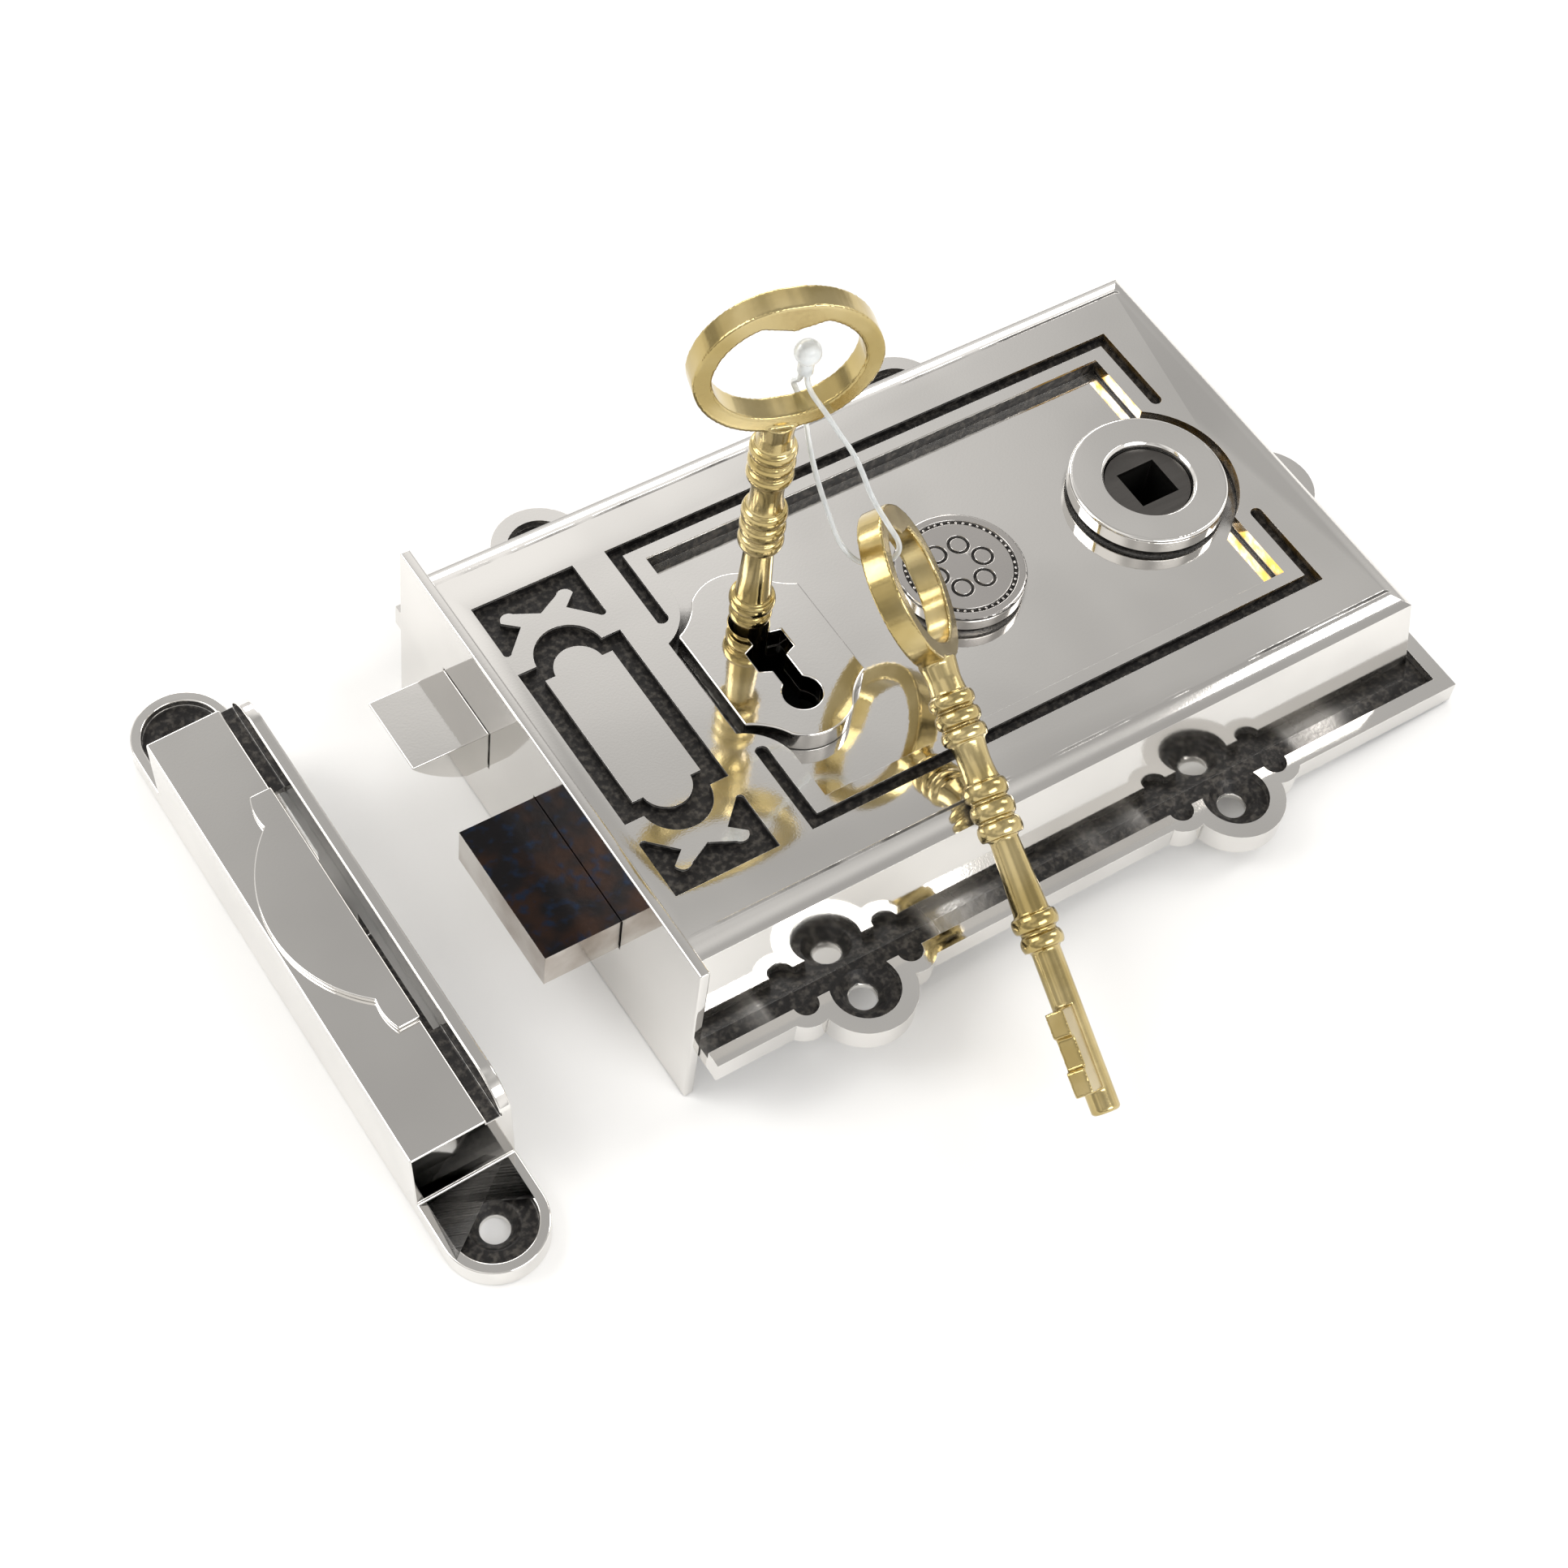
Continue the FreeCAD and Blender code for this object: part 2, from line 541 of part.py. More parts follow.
def build_coil(label):
    """Latch return spring, modelled as a true coil between the latch and its stop."""
    start, stop = size("latch_inner"), size("coil_stop")
    wire, mean = size("coil_wire") / 2, size("coil_round") - size("coil_wire") / 2
    length = stop - start - 2 * wire - 0.1
    turns = size("coil_turns")
    helix = Part.makeHelix(length / turns, length, mean)
    section = Part.Wire(Part.makeCircle(wire, Vector(mean, 0, 0), Vector(0, 1, 0)))
    coil = Part.Wire(helix).makePipeShell([section], True, True)
    coil.Placement = Placement(Vector(start + wire + 0.05, size("coil_y"), size("coil_z")),
                               Rotation(Vector(0, 1, 0), 90))
    return feature_of(label, coil)


def build_coil_stop():
    """Stop post riveted to the cap, with the rod that guides the spring."""
    stop, y, z = size("coil_stop"), size("coil_y"), size("coil_z")
    height = size("latch_top") - size("latch_tail_thick") - size("cap_thick") - 0.5
    block = Part.makeBox(4, 6, height, Vector(stop, y - 3, size("cap_thick")))
    rod = Part.makeCylinder(1.1, 20, Vector(stop - 20, y, z), Vector(1, 0, 0))
    return feature_of("spring_stop", block.fuse(rod).removeSplitter())


def key_profile():
    """Half profile of the turned key: pin, three groups of collars, waist and neck."""
    pin, foot = size("pin_round"), size("collar_foot")
    points = [(0, 0), (pin - 0.4, 0), (pin, 0.4), (pin, foot)]

    def collar(low, high, radius, root):
        points.extend([(root, low), (radius - 0.35, low), ((radius, (low + high) / 2),
                       (radius - 0.35, high)), (root, high)])

    collar(foot, foot + 2.4, 3.7, 3.0)
    collar(foot + 3.3, foot + 5.9, 4.0, 3.0)
    shank = foot + 19.2
    points.extend([(3.05, foot + 5.9), (2.45, shank)])
    for step in range(3):
        collar(shank + 3.4 * step, shank + 3.4 * step + 2.7, 3.9, 3.1)
    waist = shank + 9.5
    points.extend([(3.1, waist), ((2.75, waist + 4), (3.1, waist + 7.2))])
    groups = waist + 7.2
    for step in range(3):
        collar(groups + 2.9 * step, groups + 2.9 * step + 2.3, 3.95, 3.1)
    neck = groups + 8.1
    points.extend([(3.1, neck), (2.9, neck + 2.6), (3.3, neck + 6.0), (0, neck + 6.0)])
    return points


def bow(width, height, top, cusp):
    """Oval bow outline in the key's XZ plane; the inner one has a small cusp at its top."""
    low, half, middle = top - height, width / 2, top - height / 2
    d = 0.7071
    if cusp:
        return [(0, low), ((half * d, middle - height / 2 * d), (half, middle)),
                ((half * 0.78, middle + height * 0.31), (half * 0.42, top - 0.9)), (0, top - 2.2),
                (-half * 0.42, top - 0.9), ((-half * 0.78, middle + height * 0.31), (-half, middle)),
                ((-half * d, middle - height / 2 * d), (0, low))]
    return [(0, low), ((half * d, middle - height / 2 * d), (half, middle)),
            ((half * d, middle + height / 2 * d), (0, top)),
            ((-half * d, middle + height / 2 * d), (-half, middle)),
            ((-half * d, middle - height / 2 * d), (0, low))]


def build_key(label, place):
    """One cast key, made about its own pin axis with the tip at its origin."""
    body = new_body(label)
    turn(body, chain(key_profile()))
    reach, low, high = size("bit_reach"), size("bit_low"), size("bit_high")
    step = 1.2
    cast = [(0, low), (-reach, low), (-reach, low + 4.2), (-reach + step, low + 4.6),
            (-reach + step, high - 4.6), (-reach, high - 4.2), (-reach, high), (0, high)]
    pad(body, chain(cast), "@bit_thick", role="XZ_Plane", midplane=True)
    band, top = size("bow_band"), size("key_length")
    outline = bow(size("bow_width"), size("bow_height"), top, False)
    eye = bow(size("bow_width") - 2 * band, size("bow_height") - 2 * band, top - band, True)
    pad(body, chain(outline), "@bow_thick", role="XZ_Plane", midplane=True)
    pocket(body, chain(eye), "@bow_thick + 1", role="XZ_Plane", both=True)
    body.Placement = place
    return body


def floor_tilt():
    """Tilt of the surface under the lock, which stands on its lip and its rear lug."""
    lip = size("case_front") - size("forend_thick")
    rear = size("rear_lug_x") + size("lug_round")
    return math.atan(size("lip_drop") / (rear - lip))


def keep_place():
    """The keep lies on the same surface, beyond the forend."""
    tilt = floor_tilt()
    x = size("keep_x")
    z = -size("lip_drop") + math.tan(tilt) * (x - size("case_front") + size("forend_thick"))
    return Placement(Vector(x, size("keep_y"), z), Rotation(Vector(0, 1, 0), -math.degrees(tilt)))


def build_keep():
    """Keep casting: hollow box, raised striking lip, gutter, slot and two lugs."""
    body = new_body("keep_casting")
    half_x, half_y = size("keep_width") / 2, size("keep_length") / 2
    wall, lip = size("keep_wall"), size("keep_lip_thick")
    pad(body, rectangle(-half_x, half_x, -half_y, half_y), "@keep_height")
    pad(body, chain([(half_y, 0), (half_y, size("keep_height")), ((half_y - 3.2, size("keep_lip_top") - 1.2),
                     (half_y - 9, size("keep_lip_top"))), (-half_y + 9, size("keep_lip_top")),
                     ((-half_y + 3.2, size("keep_lip_top") - 1.2), (-half_y, size("keep_height"))),
                     (-half_y, 0)]), "@keep_lip_thick", f"{half_x - lip}", role="YZ_Plane")
    for sign in (-1, 1):
        y = sign * size("keep_lug_y")
        pad(body, chain([(-half_x, sign * (half_y - 1)), (half_x, sign * (half_y - 1)), (half_x, y),
                         ((0, y + sign * half_x), (-half_x, y))]), "@keep_lug_top")
        pocket(body, chain([(-half_x + 2, sign * (half_y + 0.01)), (half_x - 2, sign * (half_y + 0.01)),
                            (half_x - 2, y), ((0, y + sign * (half_x - 2)), (-half_x + 2, y))]),
               "@keep_lug_top - @keep_lug_floor", "@keep_lug_top")
        pocket(body, disc(0, y, size("screw_round")), "@keep_lug_top", upward=True)
        countersink(body, 0, y, "@keep_lug_floor")
    gutter = half_x - lip
    pocket(body, rectangle(gutter - size("keep_gutter") - 1, gutter, -half_y, half_y), "0.9", "@keep_height")
    pocket(body, rectangle(-half_x + wall, half_x - lip, -half_y + 8, half_y - 8),
           "@keep_height - @keep_wall", upward=True)
    pocket(body, rectangle(gutter - 2.3, gutter, -size("keep_slot_half"), size("keep_slot_half")), "@keep_wall + 2", "@keep_height")
    for y, width, low, high in keep_mouths():
        pocket(body, rectangle(gutter - 1, half_x + 1, y - width / 2, y + width / 2), str(high - low),
               str(low), upward=True)
    body.Placement = keep_place()
    return body


def keep_mouths():
    """Mouths for both bolts: centre, width, bottom and top, from the bolts' own sizes."""
    room = 0.7
    low_dead, thick = size("dead_bottom"), size("dead_thick")
    low_latch = size("latch_top") - size("latch_thick")
    return [(size("dead_y"), size("dead_width") + 2 * room, low_dead - 0.9, low_dead + thick + room),
            (size("latch_y"), size("latch_width") + 2 * room, low_latch - 0.9, size("latch_top") + room)]


def build_keep_pad():
    """Bow-shaped wear plate riveted to the top of the keep."""
    body = new_body("keep_wear_plate")
    gutter = size("keep_width") / 2 - size("keep_lip_thick") - size("keep_gutter") - 1
    half, swell, middle = size("pad_half"), size("pad_bow"), 1.0
    points = [(gutter, middle - half), (gutter, middle + half), (gutter - 4, middle + half),
              ((gutter - 4.9, middle + half - 3.5), (gutter - 4.7, middle + half - 6.5)),
              ((gutter - swell, middle), (gutter - 4.7, middle - half + 6.5)),
              ((gutter - 4.9, middle - half + 3.5), (gutter - 4, middle - half))]
    pad(body, chain(points), "@pad_thick", "@keep_height")
    body.Placement = keep_place()
    return body


def key_places():
    """Key in the lock, and the spare that leans on the case edge."""
    rest = Placement(Vector(size("key_x"), size("key_y"), 0), Rotation(Vector(0, 0, 1), size("key_lean")))
    edge = Vector(-12.0, -size("case_half_width"), size("case_height") - size("edge_step"))
    bow_end, along = edge + Vector(5.6, 45.8, 27.6), Vector(-0.1085, -0.8895, -0.4439)
    along.normalize()
    tip = bow_end + along * size("key_length")
    upright = Rotation(Vector(0, 0, 1), along * -1)
    roll = Rotation(Vector(0, 0, 1), size("spare_roll"))
    return rest, Placement(tip, upright * roll)


LOOP_ROUTE = [
    (-22.7, 5.4, 88.2), (-22.7, 5.4, 85.6), (-21.0, 1.4, 82.2), (-18.6, 0.4, 77.2), (-15.9, -0.3, 72.2),
    (-13.9, -1.4, 66.8), (-13.1, -3.2, 62.9), (-13.0, -7.9, 61.3), (-11.0, -10.5, 56.9), (-12.0, -9.5, 52.3),
    (-16.3, -7.2, 51.7), (-18.7, -4.2, 54.9), (-18.0, 0.5, 57.2), (-18.3, 4.1, 61.6), (-18.6, 6.9, 66.7),
    (-18.5, 9.4, 72.0), (-19.8, 10.6, 77.4), (-21.9, 10.1, 82.2), (-22.7, 6.8, 85.6), (-22.7, 6.8, 88.2)]


def rounded_route(points):
    """Straight runs joined by tangent arcs, each as large as its two runs allow."""
    corners = [Vector(*point) for point in points]
    edges = []
    start = corners[0]
    for before, corner, after in zip(corners, corners[1:], corners[2:]):
        one, two = (before - corner), (after - corner)
        trim = 0.45 * min(one.Length, two.Length)
        half_turn = (math.pi - one.getAngle(two)) / 2
        enter = corner + one.normalize() * trim
        leave = corner + two.normalize() * trim
        bisector = (one + two).normalize()
        radius = trim / math.tan(half_turn)
        middle = corner + bisector * (radius / math.cos(half_turn) - radius)
        edges.append(Part.LineSegment(start, enter).toShape())
        edges.append(Part.Arc(enter, middle, leave).toShape())
        start = leave
    edges.append(Part.LineSegment(start, corners[-1]).toShape())
    return Part.Wire(edges)


def build_tag_loop():
    """Nylon tag loop that ties the spare key to the bow of the key in the lock."""
    path = rounded_route(LOOP_ROUTE)
    heading = Vector(*LOOP_ROUTE[1]) - Vector(*LOOP_ROUTE[0])
    section = Part.Wire(Part.makeCircle(size("loop_round"), Vector(*LOOP_ROUTE[0]), heading))
    tube = path.makePipeShell([section], True, False)
    expected = math.pi * size("loop_round") ** 2 * path.Length
    print("loop length", round(path.Length, 1), "volume against section", round(tube.Volume / expected, 3))
    feature_of("tag_loop", tube)
    start, end = Vector(*LOOP_ROUTE[0]), Vector(*LOOP_ROUTE[-1])
    middle = (start + end) * 0.5
    neck = Part.makeCylinder(1.3, 3.0, middle, Vector(0, 0, 1))
    ball = Part.makeSphere(size("socket_round"), middle + Vector(0, 0, 4.4))
    return feature_of("tag_socket", neck.fuse(ball).removeSplitter())


def build_all():
    """Build every piece of the lock."""
    build_case()
    build_forend()
    build_cap()
    build_cap_screws()
    build_rose()
    build_badge()
    build_escutcheon()
    build_follower()
    build_latch()
    build_deadbolt()
    build_round("bolt_stump", "@key_x - @stump_back", "@stump_y", "@stump_round",
                "@dead_bottom + @tail_thick", "@lever_low + @lever_thick")
    build_round("bolt_guide_stud", "0", "@guide_y", "@stud_round", "@cap_thick",
                "@case_height - @panel_depth - @case_wall")
    build_round("lever_pivot_pin", "@lever_x", "@lever_y", "@stud_round", "@cap_thick",
                "@case_height - @panel_depth - @case_wall")
    build_lever()
    build_lever_spring()
    build_coil("latch_spring")
    build_coil_stop()
    rest, spare = key_places()
    build_key("key_turning", rest)
    build_key("key_spare", spare)
    build_keep()
    build_keep_pad()
    build_tag_loop()


build_all()
doc.recompute()
for item in doc.Objects:
    if "Invalid" in item.State or "Error" in item.State:
        raise RuntimeError(f"{item.Label} failed: {item.State}")
for item in PARTS:
    shape = item.Shape
    if shape.isNull() or not shape.isValid():
        raise RuntimeError(f"{item.Label} has no valid shape")
    shape.exportStep(f"parts/{item.Label}.step")
    print(item.Label, round(shape.Volume), len(shape.Solids), shape.BoundBox)
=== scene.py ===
import logging
import math
from dataclasses import dataclass
from enum import Enum
from typing import Any, Sequence

import bmesh
import bpy
from mathutils import Matrix, Vector


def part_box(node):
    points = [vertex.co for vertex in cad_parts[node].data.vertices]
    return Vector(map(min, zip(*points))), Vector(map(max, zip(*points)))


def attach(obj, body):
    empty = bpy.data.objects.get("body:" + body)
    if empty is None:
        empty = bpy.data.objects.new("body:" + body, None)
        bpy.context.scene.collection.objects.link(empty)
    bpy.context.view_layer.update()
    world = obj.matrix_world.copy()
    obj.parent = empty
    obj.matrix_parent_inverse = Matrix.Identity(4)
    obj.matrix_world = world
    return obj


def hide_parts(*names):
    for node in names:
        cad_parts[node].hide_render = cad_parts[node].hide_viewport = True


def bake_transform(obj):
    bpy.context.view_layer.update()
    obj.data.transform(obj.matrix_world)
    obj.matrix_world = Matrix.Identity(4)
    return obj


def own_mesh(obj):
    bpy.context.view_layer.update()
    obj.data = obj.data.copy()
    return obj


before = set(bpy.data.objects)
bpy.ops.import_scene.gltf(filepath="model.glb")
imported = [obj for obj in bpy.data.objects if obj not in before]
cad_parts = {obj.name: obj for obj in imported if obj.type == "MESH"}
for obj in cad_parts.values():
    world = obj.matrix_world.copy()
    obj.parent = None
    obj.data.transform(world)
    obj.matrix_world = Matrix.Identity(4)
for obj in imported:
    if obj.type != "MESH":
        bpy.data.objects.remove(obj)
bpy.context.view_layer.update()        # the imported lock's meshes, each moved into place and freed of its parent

# Looks of a rim lock: polished nickel case and keep, blackened recesses with painted shade where parts meet,
# brass keys, nylon tag loop.
# Everything is in metres in the lock's own frame: +Z out of the door face, -X towards the door edge.

LOG = logging.getLogger("rim_lock")
MM = 0.001

SHARP_ANGLE = 28.0                         # degrees between faces, over which an edge is rounded
FLAT_ANGLE = 0.6                           # degrees between triangles that count as one face
WELD = 0.002 * MM                          # distance at which loose corners merge
FACE_FLOOR = (23.1 * MM, 23.5 * MM)        # heights of the blackened floors, low and high
FLANGE_FLOOR = (1.2 * MM, 3.2 * MM)
KEEP_LUG_FLOOR = (1.2 * MM, 3.4 * MM)
KEEP_TOP_FLOOR = (19.0 * MM, 19.7 * MM)
BADGE_FLOOR = (25.2 * MM, 25.66 * MM)

Colour = tuple[float, float, float]
Number = float | int


class Body(Enum):
    """The bodies that the pieces ride on."""

    CASE = "lock_case"
    LATCH = "latch"
    DEADBOLT = "deadbolt"
    FOLLOWER = "follower"
    LEVER = "lever"
    KEY = "key"


# ---------------------------------------------------------------------------------- shader maths


class Wire:
    """A shader value that takes part in Python arithmetic and adds its own Math nodes."""

    def __init__(self, shader: "Shader", socket: bpy.types.NodeSocket) -> None:
        """Wrap one output socket of a shader.

        Args:
            shader: The shader that the socket belongs to.
            socket: The output socket.
        """
        self.shader = shader
        self.socket = socket

    def _with(self, operation: str, first: "Wire | Number", second: "Wire | Number") -> "Wire":
        """Add a Math node that joins two values.

        Args:
            operation: Blender's name of the operation.
            first: The first value.
            second: The second value.

        Returns:
            The joined value.
        """
        made = self.shader.node("ShaderNodeMath", {"operation": operation}, {0: first, 1: second})
        return Wire(self.shader, made.outputs[0])

    def __add__(self, other: "Wire | Number") -> "Wire":
        """Sum of two values."""
        return self._with("ADD", self, other)

    __radd__ = __add__

    def __mul__(self, other: "Wire | Number") -> "Wire":
        """Product of two values."""
        return self._with("MULTIPLY", self, other)

    __rmul__ = __mul__

    def __sub__(self, other: "Wire | Number") -> "Wire":
        """Difference of two values."""
        return self._with("SUBTRACT", self, other)

    def __rsub__(self, other: "Wire | Number") -> "Wire":
        """Difference, reflected."""
        return self._with("SUBTRACT", other, self)

    def at_most(self, other: "Wire | Number") -> "Wire":
        """The smaller of two values."""
        return self._with("MINIMUM", self, other)

    def at_least(self, other: "Wire | Number") -> "Wire":
        """The larger of two values."""
        return self._with("MAXIMUM", self, other)

    def size(self) -> "Wire":
        """The value without its sign."""
        return self._with("ABSOLUTE", self, 0.0)

    def fade(self, low: float, high: float, start: float = 0.0, end: float = 1.0) -> "Wire":
        """Smooth step of this value.

        Args:
            low: Value at which the result is start.
            high: Value at which the result is end.
            start: Result at and below low.
            end: Result at and above high.

        Returns:
            The mapped value.
        """
        sockets = {"Value": self, "From Min": low, "From Max": high, "To Min": start, "To Max": end}
        made = self.shader.node("ShaderNodeMapRange", {"interpolation_type": "SMOOTHSTEP"}, sockets)
        return Wire(self.shader, made.outputs["Result"])

    def within(self, low: float, high: float, soft: float) -> "Wire":
        """One between two values and zero outside them, with soft edges."""
        return self.fade(low - soft, low) * self.fade(high, high + soft, 1.0, 0.0)


class Shader:
    """One node material under construction."""

    def __init__(self, name: str) -> None:
        """Start an empty material with a Principled shader.

        Args:
            name: The material's name.
        """
        self.material = bpy.data.materials.new(name)
        self.material.use_nodes = True
        self.tree = self.material.node_tree
        self.principled = next(n for n in self.tree.nodes if n.type == "BSDF_PRINCIPLED")
        coordinates = self.node("ShaderNodeTexCoord", {}, {})
        self.place = coordinates.outputs["Object"]
        parts = self.node("ShaderNodeSeparateXYZ", {}, {0: self.place})
        self.x, self.y, self.z = (Wire(self, parts.outputs[axis]) for axis in range(3))
        facing = self.node("ShaderNodeSeparateXYZ", {}, {0: coordinates.outputs["Normal"]})
        self.up = Wire(self, facing.outputs[2])
        self.rearward = Wire(self, facing.outputs[0])

    def node(self, kind: str, settings: dict[str, Any], sockets: dict[Any, Any]) -> bpy.types.Node:
        """Add a node.

        Args:
            kind: Blender's node type.
            settings: The node's own properties, set first.
            sockets: Values, sockets or wires for its inputs, by name or index.

        Returns:
            The node.
        """
        made = self.tree.nodes.new(kind)
        for key, value in settings.items():
            setattr(made, key, value)
        for key, value in sockets.items():
            self.feed(made.inputs[key], value)
        return made

    def feed(self, target: bpy.types.NodeSocket, value: Any) -> None:
        """Link a wire or socket to an input, or set the input's own value.

        Args:
            target: The input socket.
            value: A wire, an output socket, a colour or a plain value.
        """
        if isinstance(value, Wire):
            self.tree.links.new(value.socket, target)
        elif isinstance(value, bpy.types.NodeSocket):
            self.tree.links.new(value, target)
        elif isinstance(value, tuple) and len(value) == 3 and target.type == "RGBA":
            target.default_value = (*value, 1.0)
        else:
            target.default_value = value

    def set(self, **values: Any) -> None:
        """Set the Principled shader's sockets, an underscore standing for a space.

        Args:
            **values: What to feed, by socket name.
        """
        for key, value in values.items():
            self.feed(self.principled.inputs[key.replace("_", " ")], value)

    def noise(self, scale: float, detail: float = 3.0, stretch: Sequence[float] = (1, 1, 1)) -> Wire:
        """Noise over the piece.

        Args:
            scale: Features to the metre.
            detail: Octaves.
            stretch: Scale along each axis, for a brushed grain.

        Returns:
            A value about one half.
        """
        mapped = self.node("ShaderNodeMapping", {}, {"Vector": self.place, "Scale": tuple(stretch)})
        sockets = {"Vector": mapped.outputs[0], "Scale": scale, "Detail": detail}
        made = self.node("ShaderNodeTexNoise", {}, sockets)
        return Wire(self, made.outputs["Fac"])

    def shelter(self, reach: float, local: bool = True) -> Wire:
        """How deep a point lies in a recess: one in the deepest, zero in the open.

        Args:
            reach: How far away a wall still shelters.
            local: Whether only the piece itself counts.

        Returns:
            The depth.
        """
        made = self.node("ShaderNodeAmbientOcclusion", {"samples": 8, "only_local": local},
                         {"Distance": reach})
        return 1 - Wire(self, made.outputs["AO"])

    def blend(self, share: Wire, first: Any, second: Any) -> bpy.types.NodeSocket:
        """Mix two colours by a share from zero to one.

        Args:
            share: Share of the second colour.
            first: The first colour.
            second: The second colour.

        Returns:
            The mixed colour's socket.
        """
        made = self.node("ShaderNodeMix", {"data_type": "RGBA"}, {})
        self.feed(made.inputs["Factor"], share)
        colours = [socket for socket in made.inputs if socket.type == "RGBA"]
        self.feed(colours[0], first)
        self.feed(colours[1], second)
        return next(socket for socket in made.outputs if socket.type == "RGBA")

    def bump(self, height: Wire, distance: float, strength: float = 0.5) -> None:
        """Raise the surface by a height before it is shaded.

        Args:
            height: Height over the piece.
            distance: What a height of one means.
            strength: Share of the bump that shows.
        """
        made = self.node("ShaderNodeBump", {}, {"Height": height, "Distance": distance, "Strength": strength})
        self.set(Normal=made.outputs[0])


# -------------------------------------------------------------------------------------- finishes


@dataclass(frozen=True)
class Nickel:
    """Mirror-polished nickel with black patina left in the recesses, and painted shade where other parts come
    close when local is off.
    """

    name: str
    tone: Colour = (0.80, 0.785, 0.76)
    black: Colour = (0.012, 0.011, 0.011)
    gilt: Colour = (0.50, 0.29, 0.05)
    polish: float = 0.045
    reach: float = 3.2 * MM
    shallow: float = 0.40
    deep: float = 0.62
    floors: tuple[tuple[float, float], ...] = ()
    local: bool = True
    lean: float = 0.0
    lean_from: tuple[float, float] = (0.0, 0.0)
    floor_span: tuple[float, float] = (0.2, 0.7)
    wave: float = 0.10 * MM

    def build(self) -> bpy.types.Material:
        """Make the material.

        Returns:
            The finished material.
        """
        shader = Shader(self.name)
        blots = shader.noise(260.0, 4.0)
        grain = shader.noise(2400.0, 3.0)
        cast = shader.noise(900.0, 5.0)
        # Occlusion blackens the piece's own recesses as patina; with local off, the parts close by darken it
        # too, which is painted shade.
        hollow = shader.shelter(self.reach, self.local)
        recess_dark = (hollow + (blots - 0.5) * 0.25).fade(self.shallow, self.deep)
        height = shader.z - (shader.x - self.lean_from[0]) * self.lean - self.lean_from[1]
        ragged = height + (cast - 0.5) * (0.5 * MM)
        for low, high in self.floors:
            flat = ragged.within(low, high, 0.12 * MM) * shader.up.fade(*self.floor_span)
            recess_dark = recess_dark.at_least(flat * self.where(shader, low))
        recess_dark = self.further(shader, recess_dark, cast)
        haze = shader.noise(34.0, 2.0).fade(0.38, 0.66)
        metal = shader.blend(haze, self.tone, tuple(c * 0.92 for c in self.tone))
        warm = shader.blend(self.gilding(shader, blots), metal, self.gilt)
        dark = shader.blend(cast.fade(0.42, 0.72), self.black, (0.075, 0.068, 0.06))
        shader.set(Base_Color=shader.blend(recess_dark, warm, dark), Metallic=1.0 - recess_dark * 0.55,
                   Roughness=grain * 0.03 + haze * 0.035 + self.polish - 0.015 + recess_dark * 0.40)
        swell = shader.noise(26.0, 1.0) * (self.wave / (0.35 * MM))
        shader.bump(cast * recess_dark * 0.6 + grain * 0.015 + swell, 0.35 * MM, 0.6)
        return shader.material

    def where(self, shader: Shader, level: float) -> Wire | float:
        """Share of a blackened floor that really is black."""
        return 1.0

    def further(self, shader: Shader, recess_dark: Wire, cast: Wire) -> Wire:
        """Correct the black for one piece."""
        return recess_dark

    def gilding(self, shader: Shader, blots: Wire) -> Wire:
        """Share of brass that shows through the plating: a trace on a few blots."""
        return blots.fade(0.78, 0.95) * 0.4


